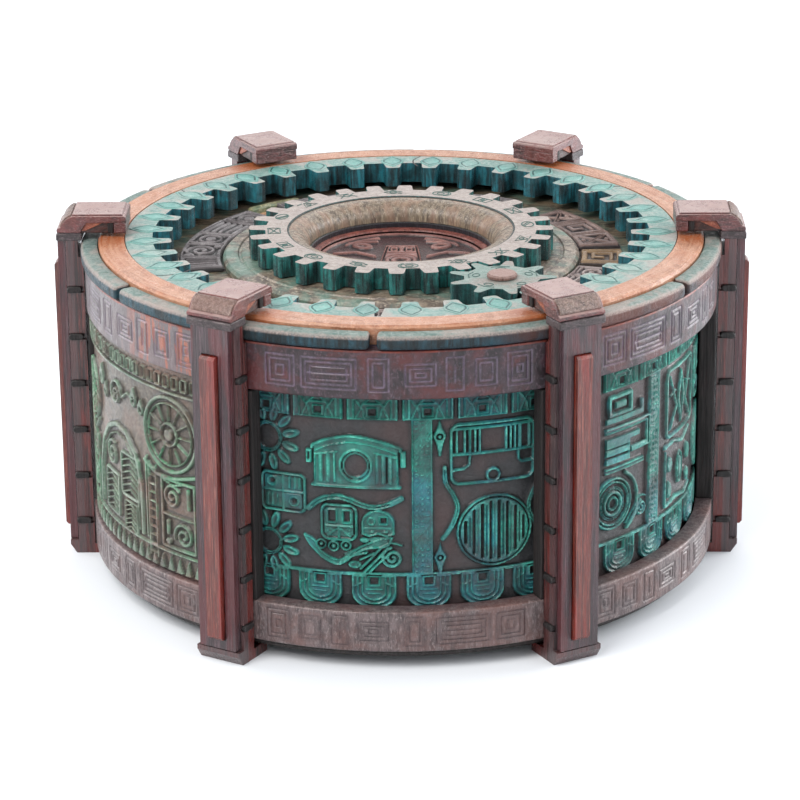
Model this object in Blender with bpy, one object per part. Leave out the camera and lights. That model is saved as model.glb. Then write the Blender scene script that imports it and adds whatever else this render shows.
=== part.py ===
"""Cryptex puzzle box: a round wooden case with six pillars, a turning cipher drum and a geared lid."""

import math

import bmesh
import bpy
from mathutils import Matrix

for old in list(bpy.data.objects):
    bpy.data.objects.remove(old, do_unlink=True)

MM = 0.001
GAP = 0.3  # between pieces that touch

# Heights above the table
FOOT_TOP = 3.2
BASE_Z = (3.5, 5.7)
LOWER_BAND_Z = (6.0, 19.0)
UPPER_BAND_Z = (86.0, 101.4)
LID_FLOOR_Z = (95.0, 98.0)
RIM_Z = (101.7, 106.2)
RING_Z = (101.7, 107.4)
GEAR_RING_Z = (100.6, 107.2)
SUN_Z = (101.4, 108.1)
ARM_Z = (108.6, 114.9)
DIAL_Z = (94.6, 98.4)

# Radii from the middle
CASE_R = (94.9, 100.15)
BASE_R = 98.4
PANEL_R = (95.2, 99.5)
DRUM_R = (89.5, 94.5)
RIM_R = (96.0, 101.3)
RING_R = (87.5, 95.7)
GEAR_RING_OUT = 87.2
POST_R = (100.45, 105.8)
FACE_R = (106.1, 108.5)
STRIP_OUT = 110.3
ARM_IN = 86.4

# Pillars
PILLARS = {
    "front_left": -30, "front_right": 30, "right": 90, "rear_right": 150, "rear_left": -150, "left": -90,
}
BOARD_W, POST_W, ARM_W = 12.9, 15.2, 15.6
STILE_W = 17.4
NOTCH_Z0, NOTCH_STEP, NOTCH_HIGH, NOTCHES = 11.6, 15.74, 2.2, 6
STRIP_W, STRIP_Z = 5.2, (8.1, 97.9)

# Joints between the six outer lid segments, and the slot in the toothed ring, by bearing
RIM_JOINTS = (-3.7, 59.7, 123.6, 177.4, 238.4, 302.9)
RIM_JOINT_W = 2.2
RING_SLOT_DEG, RING_SLOT_W, RING_SLOT_R = -3.6, (4.2, 1.8), 86.4

# Gear train: a sun wheel, one pinion on a fixed pin, and the toothed ring of the lid
SUN_TEETH, PINION_TEETH, RING_TEETH = 28, 9, 38
SUN_ROOT, SUN_TIP, SUN_TOOTH = 43.0, 48.2, (5.5, 4.6)
PINION_ROOT, PINION_TIP, PINION_TOOTH = 11.6, 16.5, (4.5, 2.5)
GEAR_ROOT, GEAR_TIP, GEAR_TOOTH = 78.7, 72.8, (6.2, 4.6)
PINION_AT_R, PINION_AT_DEG = 60.1, 31.5
SUN_BORE = 36.1

parts = bpy.data.collections.new("cryptex")
cutters = bpy.data.collections.new("cutters")
bpy.context.scene.collection.children.link(parts)
bpy.context.scene.collection.children.link(cutters)


def wood(name, colour, rough=0.5):
    mat = bpy.data.materials.new(name)
    mat.use_nodes = True
    shader = mat.node_tree.nodes["Principled BSDF"]
    shader.inputs["Base Color"].default_value = (*colour, 1)
    shader.inputs["Roughness"].default_value = rough
    return mat


COLOURS = {
    "case_brown": (0.16, 0.075, 0.05),
    "band_plum": (0.13, 0.05, 0.05),
    "pillar_core": (0.10, 0.035, 0.025),
    "pillar_plum": (0.11, 0.04, 0.04),
    "strip_red": (0.30, 0.055, 0.025),
    "arm_plum": (0.20, 0.08, 0.07),
    "drum_teal": (0.03, 0.22, 0.19),
    "panel_olive": (0.16, 0.17, 0.12),
    "base_black": (0.03, 0.025, 0.022),
    "inner_ply": (0.45, 0.32, 0.2),
    "floor_olive": (0.30, 0.31, 0.24),
    "ring_copper": (0.55, 0.21, 0.10),
    "gear_teal": (0.12, 0.33, 0.28),
    "rim_slate": (0.08, 0.14, 0.14),
    "sun_pink": (0.42, 0.33, 0.30),
    "funnel_ochre": (0.34, 0.28, 0.20),
    "pinion_green": (0.30, 0.42, 0.36),
    "pin_brown": (0.28, 0.16, 0.13),
    "glyph_brown": (0.22, 0.15, 0.12),
    "dial_brown": (0.24, 0.12, 0.09),
}
MATERIALS = {name: wood(name, colour) for name, colour in COLOURS.items()}


def add(name, bm, material=None, at=(0, 0, 0), turn=0.0):
    """Make an object from bm, measured in mm, with its origin at `at` and turned about +Z."""
    bmesh.ops.remove_doubles(bm, verts=bm.verts, dist=1e-3)
    bmesh.ops.transform(bm, matrix=Matrix.Diagonal((MM, MM, MM, 1)), verts=bm.verts)
    bmesh.ops.recalc_face_normals(bm, faces=bm.faces)
    mesh = bpy.data.meshes.new(name)
    bm.to_mesh(mesh)
    bm.free()
    obj = bpy.data.objects.new(name, mesh)
    obj.location = [value * MM for value in at]
    obj.rotation_euler.z = math.radians(turn)
    if material:
        mesh.materials.append(MATERIALS[material])
        parts.objects.link(obj)
    else:
        obj.hide_render = True
        obj.display_type = "WIRE"
        cutters.objects.link(obj)
    return obj


def prism_mesh(outline, low, high):
    """A flat outline, lifted from low to high."""
    bm = bmesh.new()
    face = bm.faces.new([bm.verts.new((x, y, low)) for x, y in outline])
    lifted = bmesh.ops.extrude_face_region(bm, geom=[face])["geom"]
    raised = [v for v in lifted if isinstance(v, bmesh.types.BMVert)]
    bmesh.ops.translate(bm, vec=(0, 0, high - low), verts=raised)
    return bm


def turned_mesh(profile, steps=96):
    """A closed (radius, height) profile, turned about +Z."""
    bm = bmesh.new()
    ring = [bm.verts.new((r, 0, z)) for r, z in profile]
    edges = [bm.edges.new((a, b)) for a, b in zip(ring, ring[1:] + ring[:1])]
    bmesh.ops.spin(bm, geom=ring + edges, cent=(0, 0, 0), axis=(0, 0, 1), angle=math.tau, steps=steps)
    return bm


def ring_profile(inner, outer, low, high):
    return [(inner, low), (outer, low), (outer, high), (inner, high)]


def spot(radius, degrees):
    """A point at this bearing: 0 is the front (-Y), 90 is the right (+X)."""
    angle = math.radians(degrees)
    return radius * math.sin(angle), -radius * math.cos(angle)


def sector(inner, outer, start, end, steps):
    bearings = [start + (end - start) * i / steps for i in range(steps + 1)]
    return [spot(outer, b) for b in bearings] + [spot(inner, b) for b in reversed(bearings)]


def side_mesh(profile, width):
    """A (radius, height) profile of the front, given a width across it."""
    bm = bmesh.new()
    face = bm.faces.new([bm.verts.new((-width / 2, -r, z)) for r, z in profile])
    lifted = bmesh.ops.extrude_face_region(bm, geom=[face])["geom"]
    moved = [v for v in lifted if isinstance(v, bmesh.types.BMVert)]
    bmesh.ops.translate(bm, vec=(width, 0, 0), verts=moved)
    return bm


def boxes_mesh(boxes):
    bm = bmesh.new()
    for low, high in boxes:
        size = [b - a for a, b in zip(low, high)]
        middle = [(a + b) / 2 for a, b in zip(low, high)]
        matrix = Matrix.Translation(middle) @ Matrix.Diagonal((*size, 1))
        bmesh.ops.create_cube(bm, size=1, matrix=matrix)
    return bm


def cut(obj, cutter):
    boolean = obj.modifiers.new("cut", "BOOLEAN")
    boolean.operation = "DIFFERENCE"
    boolean.solver = "EXACT"
    boolean.object = cutter


def teeth(count, root, tip, widths, bearing, corner=0.6):
    """A gear outline, with one tooth centred on the bearing. The tip may lie inside the root."""
    way = 1 if tip > root else -1
    points = []
    for i in range(count):
        middle = bearing + 360 * i / count
        half_root = math.degrees(widths[0] / 2 / root)
        half_tip = math.degrees(widths[1] / 2 / tip)
        nick = math.degrees(corner / tip)
        for radius, offset in (
            (root, -half_root),
            (tip - way * corner, -half_tip),
            (tip, nick - half_tip),
            (tip, half_tip - nick),
            (tip - way * corner, half_tip),
            (root, half_root),
        ):
            points.append(spot(radius, middle + offset))
    return points


# Base and casing
add("base_plate", turned_mesh([(0, BASE_Z[0]), (BASE_R - 1.5, BASE_Z[0]), (BASE_R, BASE_Z[0] + 1.5),
                               (BASE_R, BASE_Z[1]), (0, BASE_Z[1])]), "base_black")
casing = ring_profile(*CASE_R, LOWER_BAND_Z[0], UPPER_BAND_Z[0] - GAP)
lower = add("lower_casing", turned_mesh(casing), "case_brown")
windows = bmesh.new()
stile_half = math.degrees(STILE_W / 2 / CASE_R[1])
for bearing in range(0, 360, 60):
    window = prism_mesh(
        sector(CASE_R[0] - 3, CASE_R[1] + 3, bearing - 30 + stile_half, bearing + 30 - stile_half, 14),
        LOWER_BAND_Z[1], UPPER_BAND_Z[0] + 3)
    spare = bpy.data.meshes.new("window")
    window.to_mesh(spare)
    window.free()
    windows.from_mesh(spare)
cut(lower, add("window_cutter", windows))
add("upper_band", turned_mesh(ring_profile(*CASE_R, *UPPER_BAND_Z)), "band_plum")
for name, bearing in (("left_carved_panel", -60), ("rear_carved_panel", 120)):
    outline = sector(*PANEL_R, bearing - 29.5 + stile_half, bearing + 29.5 - stile_half, 14)
    add(name, prism_mesh(outline, LOWER_BAND_Z[1] + GAP, UPPER_BAND_Z[0] - GAP), "panel_olive")

# Cipher drum, with its floor, bearing and centre column
add("cipher_drum", turned_mesh(ring_profile(*DRUM_R, 9.3, 94.5)), "drum_teal")
add("drum_floor", turned_mesh(ring_profile(6.35, DRUM_R[0] - GAP, 9.3, 13.0)), "inner_ply")
add("drum_bearing_ring", turned_mesh(ring_profile(58, 66, BASE_Z[1] + GAP, 9.0), 64), "pin_brown")
add("spindle", turned_mesh([(0, 6.0), (12, 6.0), (12, 8.6), (6.3, 8.6), (6.3, 32), (5.3, 33), (0, 33)], 32),
    "pin_brown")
add("centre_column", turned_mesh(ring_profile(20, 26, 13.3, DIAL_Z[0] - GAP), 64), "inner_ply")
add("centre_dial", turned_mesh([(0, DIAL_Z[0]), (27.8, DIAL_Z[0]), (27.8, DIAL_Z[1] - 0.6),
                                (27.2, DIAL_Z[1]), (0, DIAL_Z[1])], 64), "dial_brown")

# Lid floor and its grooved pedestal
add("lid_floor", turned_mesh(ring_profile(29, CASE_R[0] - GAP, *LID_FLOOR_Z)), "floor_olive")
add("pedestal", turned_mesh([(29, 98.3), (56.5, 98.3), (56.5, 99.8), (55.6, 100.7), (51.9, 101.0),
                             (51.5, 100.5), (50.9, 100.5), (50.5, 101.0), (29, 101.0)]), "funnel_ochre")

# Turning ring of the lid: six outer segments, a copper ring and an internal gear
joint_half = math.degrees(RIM_JOINT_W / 2 / RIM_R[1])
for i, (start, end) in enumerate(zip(RIM_JOINTS, RIM_JOINTS[1:] + (RIM_JOINTS[0] + 360,))):
    outline = sector(*RIM_R, start + joint_half, end - joint_half, 16)
    add(f"rim_segment_{i + 1}", prism_mesh(outline, *RIM_Z), "rim_slate")
low, high = RING_Z
add("copper_ring", turned_mesh([(RING_R[0], low), (RING_R[1], low), (RING_R[1], high - 0.8),
                                (RING_R[1] - 0.8, high), (RING_R[0], high)]), "ring_copper")
gear_ring = add("ring_gear", turned_mesh(ring_profile(70, GEAR_RING_OUT, *GEAR_RING_Z), 114), "gear_teal")
hollow = teeth(RING_TEETH, GEAR_ROOT, GEAR_TIP, GEAR_TOOTH, PINION_AT_DEG)
cut(gear_ring, add("ring_gear_cutter", prism_mesh(hollow, GEAR_RING_Z[0] - 2, GEAR_RING_Z[1] + 2)))
wide, narrow = (math.degrees(w / 2 / r) for w, r in zip(RING_SLOT_W, (70, RING_SLOT_R)))
slot = [spot(70, RING_SLOT_DEG - wide), spot(70, RING_SLOT_DEG + wide),
        spot(RING_SLOT_R, RING_SLOT_DEG + narrow), spot(RING_SLOT_R, RING_SLOT_DEG - narrow)]
cut(gear_ring, add("ring_slot_cutter", prism_mesh(slot, GEAR_RING_Z[0] - 2, GEAR_RING_Z[1] + 2)))

# Sun wheel with its knurled funnel, and the pinion on its pin
half_pitch = 180 / SUN_TEETH
outline = teeth(SUN_TEETH, SUN_ROOT, SUN_TIP, SUN_TOOTH, PINION_AT_DEG + half_pitch)
sun = add("sun_gear", prism_mesh(outline, *SUN_Z), "sun_pink")
cut(sun, add("sun_bore_cutter", turned_mesh([(0, 99), (SUN_BORE, 99), (SUN_BORE, 111), (0, 111)])))
add("funnel_insert", turned_mesh([(29.2, 101.3), (SUN_BORE - GAP, 101.3), (SUN_BORE - GAP, 107.6),
                                  (SUN_BORE - 1, 107.8), (29.2, 102.6)]), "funnel_ochre")
pinion_x, pinion_y = spot(PINION_AT_R, PINION_AT_DEG)
outline = teeth(PINION_TEETH, PINION_ROOT, PINION_TIP, PINION_TOOTH, PINION_AT_DEG + 180)
pinion = add("pinion", prism_mesh(outline, 101.5, 107.9), "pinion_green", at=(pinion_x, pinion_y, 0))
bore = add("pinion_bore_cutter", turned_mesh([(0, 99), (2.55, 99), (2.55, 111), (0, 111)], 24))
bore.location = pinion.location
cut(pinion, bore)
pin_profile = [(0, 98.3), (3.2, 98.3), (3.2, 101.2), (2.5, 101.2), (2.5, 108.2), (4.6, 108.2), (4.6, 108.9),
               (4.1, 109.4), (0, 109.4)]
add("pinion_pin", turned_mesh(pin_profile, 24), "pin_brown", at=(pinion_x, pinion_y, 0))

# Carved glyph plates on the lid floor
PLATES = {
    "glyph_plate_left": (-133, -76, 56.9, 70.6),
    "glyph_plate_rear_left": (-178, -142, 56.9, 70.6),
    "glyph_plate_rear_right": (146, 178, 56.9, 70.6),
    "glyph_plate_right_rear": (97, 133, 56.9, 70.6),
    "glyph_plate_right": (80, 93, 56.9, 70.6),
    "glyph_plate_right_front": (56, 76, 56.9, 70.6),
    "glyph_plate_front": (-9, 9, 56.9, 70.6),
}
for name, (start, end, inner, outer) in PLATES.items():
    steps = max(3, round((end - start) / 5))
    add(name, prism_mesh(sector(inner, outer, start, end, steps), 98.3, 99.9), "glyph_brown")

# Pillars: a notched post with its foot, a face board, a red strip and the arm on top
post_profile = [
    (93.5, 0), (FACE_R[1] - 2, 0), (FACE_R[1], 3), (FACE_R[1], 4.5), (POST_R[1], 4.5),
    (POST_R[1], ARM_Z[0] - GAP), (102, ARM_Z[0] - GAP), (102, 101), (POST_R[0], 101),
    (POST_R[0], FOOT_TOP), (93.5, FOOT_TOP),
]
face_profile = [(FACE_R[0], 4.8), (FACE_R[1], 4.8), (FACE_R[1], ARM_Z[0] - GAP), (FACE_R[0], ARM_Z[0] - GAP)]
arm_profile = [
    (ARM_IN, ARM_Z[0]), (FACE_R[1], ARM_Z[0]), (FACE_R[1], 110.6), (107.6, 112.3), (105.8, 113.9),
    (103.5, ARM_Z[1]), (ARM_IN + 0.8, ARM_Z[1]), (ARM_IN, ARM_Z[1] - 0.8),
]
half = POST_W / 2
notches = [
    ((side * half - 0.9, -(POST_R[1] + 1), NOTCH_Z0 + i * NOTCH_STEP - NOTCH_HIGH / 2),
     (side * half + 0.9, -(POST_R[0] - 1), NOTCH_Z0 + i * NOTCH_STEP + NOTCH_HIGH / 2))
    for side in (-1, 1) for i in range(NOTCHES)
]
slot_low, slot_high = STRIP_Z[0] - GAP, STRIP_Z[1] + GAP
for name, bearing in PILLARS.items():
    post = add(f"pillar_post_{name}", side_mesh(post_profile, POST_W), "pillar_core", turn=bearing)
    cut(post, add(f"notch_cutter_{name}", boxes_mesh(notches), turn=bearing))
    board = add(f"face_board_{name}", side_mesh(face_profile, BOARD_W), "pillar_plum", turn=bearing)
    slot = ((-STRIP_W / 2 - GAP, -FACE_R[1] - 1, slot_low), (STRIP_W / 2 + GAP, -FACE_R[0] - 0.9, slot_high))
    cut(board, add(f"slot_cutter_{name}", boxes_mesh([slot]), turn=bearing))
    low, high = STRIP_Z
    strip = [(FACE_R[0] + 1.2, low), (STRIP_OUT - 0.8, low), (STRIP_OUT, low + 0.9), (STRIP_OUT, high - 0.9),
             (STRIP_OUT - 0.8, high), (FACE_R[0] + 1.2, high)]
    add(f"red_strip_{name}", side_mesh(strip, STRIP_W), "strip_red", turn=bearing)
    add(f"arm_{name}", side_mesh(arm_profile, ARM_W), "arm_plum", turn=bearing)
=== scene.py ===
import math

import bmesh
import bpy
import numpy as np
from mathutils import Matrix, Vector


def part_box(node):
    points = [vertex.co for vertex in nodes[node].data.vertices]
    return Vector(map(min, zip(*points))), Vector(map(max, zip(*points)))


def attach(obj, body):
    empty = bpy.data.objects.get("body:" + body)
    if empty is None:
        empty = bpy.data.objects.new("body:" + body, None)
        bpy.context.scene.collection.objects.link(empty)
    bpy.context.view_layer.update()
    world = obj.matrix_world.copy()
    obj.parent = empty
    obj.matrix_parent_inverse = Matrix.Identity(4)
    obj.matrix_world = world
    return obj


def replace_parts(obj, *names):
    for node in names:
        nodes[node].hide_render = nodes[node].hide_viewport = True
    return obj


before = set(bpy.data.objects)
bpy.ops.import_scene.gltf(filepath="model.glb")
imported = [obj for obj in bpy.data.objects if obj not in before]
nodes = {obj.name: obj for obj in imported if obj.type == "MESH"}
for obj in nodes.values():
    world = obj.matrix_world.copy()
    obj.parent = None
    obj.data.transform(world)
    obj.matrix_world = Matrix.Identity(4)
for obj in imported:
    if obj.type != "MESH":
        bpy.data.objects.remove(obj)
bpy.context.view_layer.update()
mm = 0.001
print("frame loaded,", len(nodes), "nodes")


def reach(node):
    # outer radius of a round node, in mm
    return max(abs(v) for v in (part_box(node)[0][0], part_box(node)[1][0])) / mm


def level(node):
    # lowest and highest point of a node, in mm
    low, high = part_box(node)
    return low[2] / mm, high[2] / mm


# camera, floor and lights
studio = {
    "target": (-0.0008, 0.0, 0.05), "distance": 1.0445, "elevation": 19.9, "bearing": 1.17,
    "roll": 0.52, "lens": 145.5, "floor": (0.70, 0.73, 0.77), "keyPower": 14.0, "fillPower": 4.2,
    "backPower": 5.0, "skyStrength": 0.8, "cardPower": 8.0,
}


def makeCamera():
    up0, side0 = math.radians(studio["elevation"]), math.radians(studio["bearing"])
    back = Vector((math.sin(side0) * math.cos(up0), -math.cos(side0) * math.cos(up0), math.sin(up0)))
    right = Vector((0, 0, 1)).cross(back).normalized()
    up = back.cross(right)
    turn = math.radians(studio["roll"])
    tiltRight = right * math.cos(turn) - up * math.sin(turn)
    tiltUp = right * math.sin(turn) + up * math.cos(turn)
    place = Vector(studio["target"]) + back * studio["distance"]
    data = bpy.data.cameras.new("studioCamera")
    data.lens = studio["lens"]
    data.sensor_width = 36
    data.clip_start = 0.05
    camera = bpy.data.objects.new("studioCamera", data)
    camera.matrix_world = Matrix((
        (tiltRight.x, tiltUp.x, back.x, place.x), (tiltRight.y, tiltUp.y, back.y, place.y),
        (tiltRight.z, tiltUp.z, back.z, place.z), (0, 0, 0, 1)))
    bpy.context.scene.collection.objects.link(camera)
    bpy.context.scene.camera = camera


def areaLight(name, place, target, size, power, colour=(1, 1, 1)):
    data = bpy.data.lights.new(name, "AREA")
    data.shape = "RECTANGLE"
    data.size, data.size_y = size
    data.energy = power
    data.color = colour
    lamp = bpy.data.objects.new(name, data)
    lamp.location = place
    lamp.rotation_euler = (Vector(target) - Vector(place)).to_track_quat("-Z", "Y").to_euler()
    bpy.context.scene.collection.objects.link(lamp)


makeCamera()
areaLight("keyLight", (-0.55, -0.65, 0.95), (0, 0, 0.05), (0.7, 0.7), studio["keyPower"], (1.0, 0.98, 0.95))
areaLight("fillLight", (0.9, -0.55, 0.5), (0, 0, 0.06), (0.7, 0.9), studio["fillPower"], (0.94, 0.97, 1.0))
areaLight("backLight", (0.15, 0.9, 0.8), (0, 0, 0.1), (1.2, 0.5), studio["backPower"])
areaLight("rightCard", (0.75, 0.25, 0.22), (0.06, 0, 0.05), (0.5, 0.6), studio["cardPower"])
areaLight("leftCard", (-0.75, 0.2, 0.22), (-0.06, 0, 0.05), (0.5, 0.6), studio["cardPower"] * 0.55)
world = bpy.data.worlds.new("studioSky")
world.use_nodes = True
world.node_tree.nodes["Background"].inputs["Color"].default_value = (0.97, 0.985, 1.0, 1)
world.node_tree.nodes["Background"].inputs["Strength"].default_value = studio["skyStrength"]
bpy.context.scene.world = world
bpy.context.scene.view_settings.view_transform = "Standard"


# shader groups shared by the finishes
def tone(text):
    # "#rrggbb" as the linear colour that shaders use
    values = [int(text[i:i + 2], 16) / 255 for i in (1, 3, 5)]
    return tuple(v / 12.92 if v <= 0.04045 else ((v + 0.055) / 1.055) ** 2.4 for v in values)


def startGroup(name, inputs, outputs):
    tree = bpy.data.node_groups.new(name, "ShaderNodeTree")
    for label, kind, value in inputs:
        socket = tree.interface.new_socket(label, in_out="INPUT", socket_type=kind)
        if value is not None:
            socket.default_value = value
    for label, kind in outputs:
        tree.interface.new_socket(label, in_out="OUTPUT", socket_type=kind)
    return tree, tree.nodes.new("NodeGroupInput"), tree.nodes.new("NodeGroupOutput")


class Wires:
    # short words for adding and joining nodes in one tree
    def __init__(self, tree):
        self.tree = tree

    def add(self, kind, settings=None, **values):
        node = self.tree.nodes.new(kind)
        for key, value in (settings or {}).items():
            setattr(node, key, value)
        for key, value in values.items():
            self.put(node.inputs[key.replace("_", " ")], value)
        return node

    def put(self, socket, value):
        if isinstance(value, bpy.types.NodeSocket):
            self.tree.links.new(value, socket)
        elif isinstance(value, tuple) and len(value) == 3 and socket.type == "RGBA":
            socket.default_value = (*value, 1)
        else:
            socket.default_value = value

    def sum(self, operation, first, second=0.0, third=None, clamp=False):
        node = self.tree.nodes.new("ShaderNodeMath")
        node.operation = operation
        node.use_clamp = clamp
        self.put(node.inputs[0], first)
        self.put(node.inputs[1], second)
        if third is not None:
            self.put(node.inputs[2], third)
        return node.outputs[0]

    def times(self, first, *others, clamp=False):
        for other in others:
            first = self.sum("MULTIPLY", first, other, clamp=clamp)
        return first

    def spread(self, value, outLow, outHigh):
        return self.ramp(value, 0.0, 1.0, outLow, outHigh)

    def ramp(self, value, low, high, outLow=0.0, outHigh=1.0):
        node = self.tree.nodes.new("ShaderNodeMapRange")
        node.interpolation_type = "SMOOTHSTEP"
        for i, part in enumerate((value, low, high, outLow, outHigh)):
            self.put(node.inputs[i], part)
        return node.outputs[0]

    def mix(self, amount, first, second, way="MIX"):
        node = self.tree.nodes.new("ShaderNodeMix")
        node.data_type = "RGBA"
        node.blend_type = way
        self.put(node.inputs[0], amount)
        self.put(node.inputs[6], first)
        self.put(node.inputs[7], second)
        return node.outputs[2]

    def split(self, vector):
        node = self.add("ShaderNodeSeparateXYZ")
        self.tree.links.new(vector, node.inputs[0])
        return node.outputs

    def fromAxis(self, place):
        squares = [self.sum("POWER", place[i], 2.0) for i in (0, 1)]
        return self.sum("SQRT", self.sum("ADD", *squares))

    def place(self):
        return self.add("ShaderNodeTexCoord").outputs["Object"]

    def facing(self):
        return self.split(self.add("ShaderNodeNewGeometry").outputs["Normal"])[2]

    def field(self, name):
        return self.add("ShaderNodeAttribute", {"attribute_name": name}).outputs["Fac"]

    def noise(self, vector, scale, detail=4.0, rough=0.55, distortion=0.0):
        node = self.add("ShaderNodeTexNoise", Vector=vector, Scale=scale, Detail=detail, Roughness=rough,
                        Distortion=distortion)
        return node.outputs["Fac"]


def makeGrainGroup():
    # wood grain: long streaks, fine pores and broad blotches along the stretched direction
    tree, inside, outside = startGroup("woodGrain", [
        ("Stretch", "NodeSocketVector", (1, 1, 0.05)), ("Scale", "NodeSocketFloat", 900.0)],
        [("Streak", "NodeSocketFloat"), ("Pores", "NodeSocketFloat"), ("Blotch", "NodeSocketFloat")])
    w = Wires(tree)
    place = w.place()
    scaled = w.add("ShaderNodeVectorMath", {"operation": "MULTIPLY"})
    tree.links.new(place, scaled.inputs[0])
    tree.links.new(inside.outputs["Stretch"], scaled.inputs[1])
    wide = w.noise(scaled.outputs[0], inside.outputs["Scale"], 6.0, 0.66, 0.4)
    streak = w.ramp(wide, 0.36, 0.66)
    fine = w.noise(scaled.outputs[0], w.times(inside.outputs["Scale"], 3.7), 3.0, 0.7)
    pores = w.ramp(fine, 0.52, 0.66)
    blotch = w.ramp(w.noise(place, 45.0, 4.0, 0.6, 0.8), 0.35, 0.68)
    for label, value in (("Streak", streak), ("Pores", pores), ("Blotch", blotch)):
        tree.links.new(value, outside.inputs[label])
    return tree


def makeWearGroup():
    # rubbed paint: patches where it is thin, specks of dust and a brushed break-up
    tree, inside, outside = startGroup("rubbedPaint", [("Scale", "NodeSocketFloat", 220.0)],
        [("Patch", "NodeSocketFloat"), ("Speck", "NodeSocketFloat"), ("Brush", "NodeSocketFloat")])
    w = Wires(tree)
    place = w.place()
    patch = w.ramp(w.noise(place, inside.outputs["Scale"], 6.0, 0.65, 0.6), 0.38, 0.62)
    speck = w.ramp(w.noise(place, w.times(inside.outputs["Scale"], 7.0), 4.0, 0.75), 0.55, 0.72)
    brush = w.ramp(w.noise(place, w.times(inside.outputs["Scale"], 2.6), 5.0, 0.7, 1.5), 0.3, 0.7)
    for label, value in (("Patch", patch), ("Speck", speck), ("Brush", brush)):
        tree.links.new(value, outside.inputs[label])
    return tree


grainGroup = makeGrainGroup()
wearGroup = makeWearGroup()


def startFinish(name):
    mat = bpy.data.materials.new(name)
    mat.use_nodes = True
    return mat, Wires(mat.node_tree), mat.node_tree.nodes["Principled BSDF"]


def useGroup(w, tree, **values):
    node = w.tree.nodes.new("ShaderNodeGroup")
    node.node_tree = tree
    for key, value in values.items():
        node.inputs[key].default_value = value
    return node.outputs


def bumpOf(w, height, strength):
    node = w.add("ShaderNodeBump", Strength=strength, Distance=0.0004, Height=height)
    return node.outputs["Normal"]


def settle(w, shader, colour, rough, coat, coatRough):
    w.put(shader.inputs["Base Color"], colour)
    w.put(shader.inputs["Roughness"], rough)
    shader.inputs["Coat Weight"].default_value = coat
    shader.inputs["Coat Roughness"].default_value = coatRough


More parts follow.
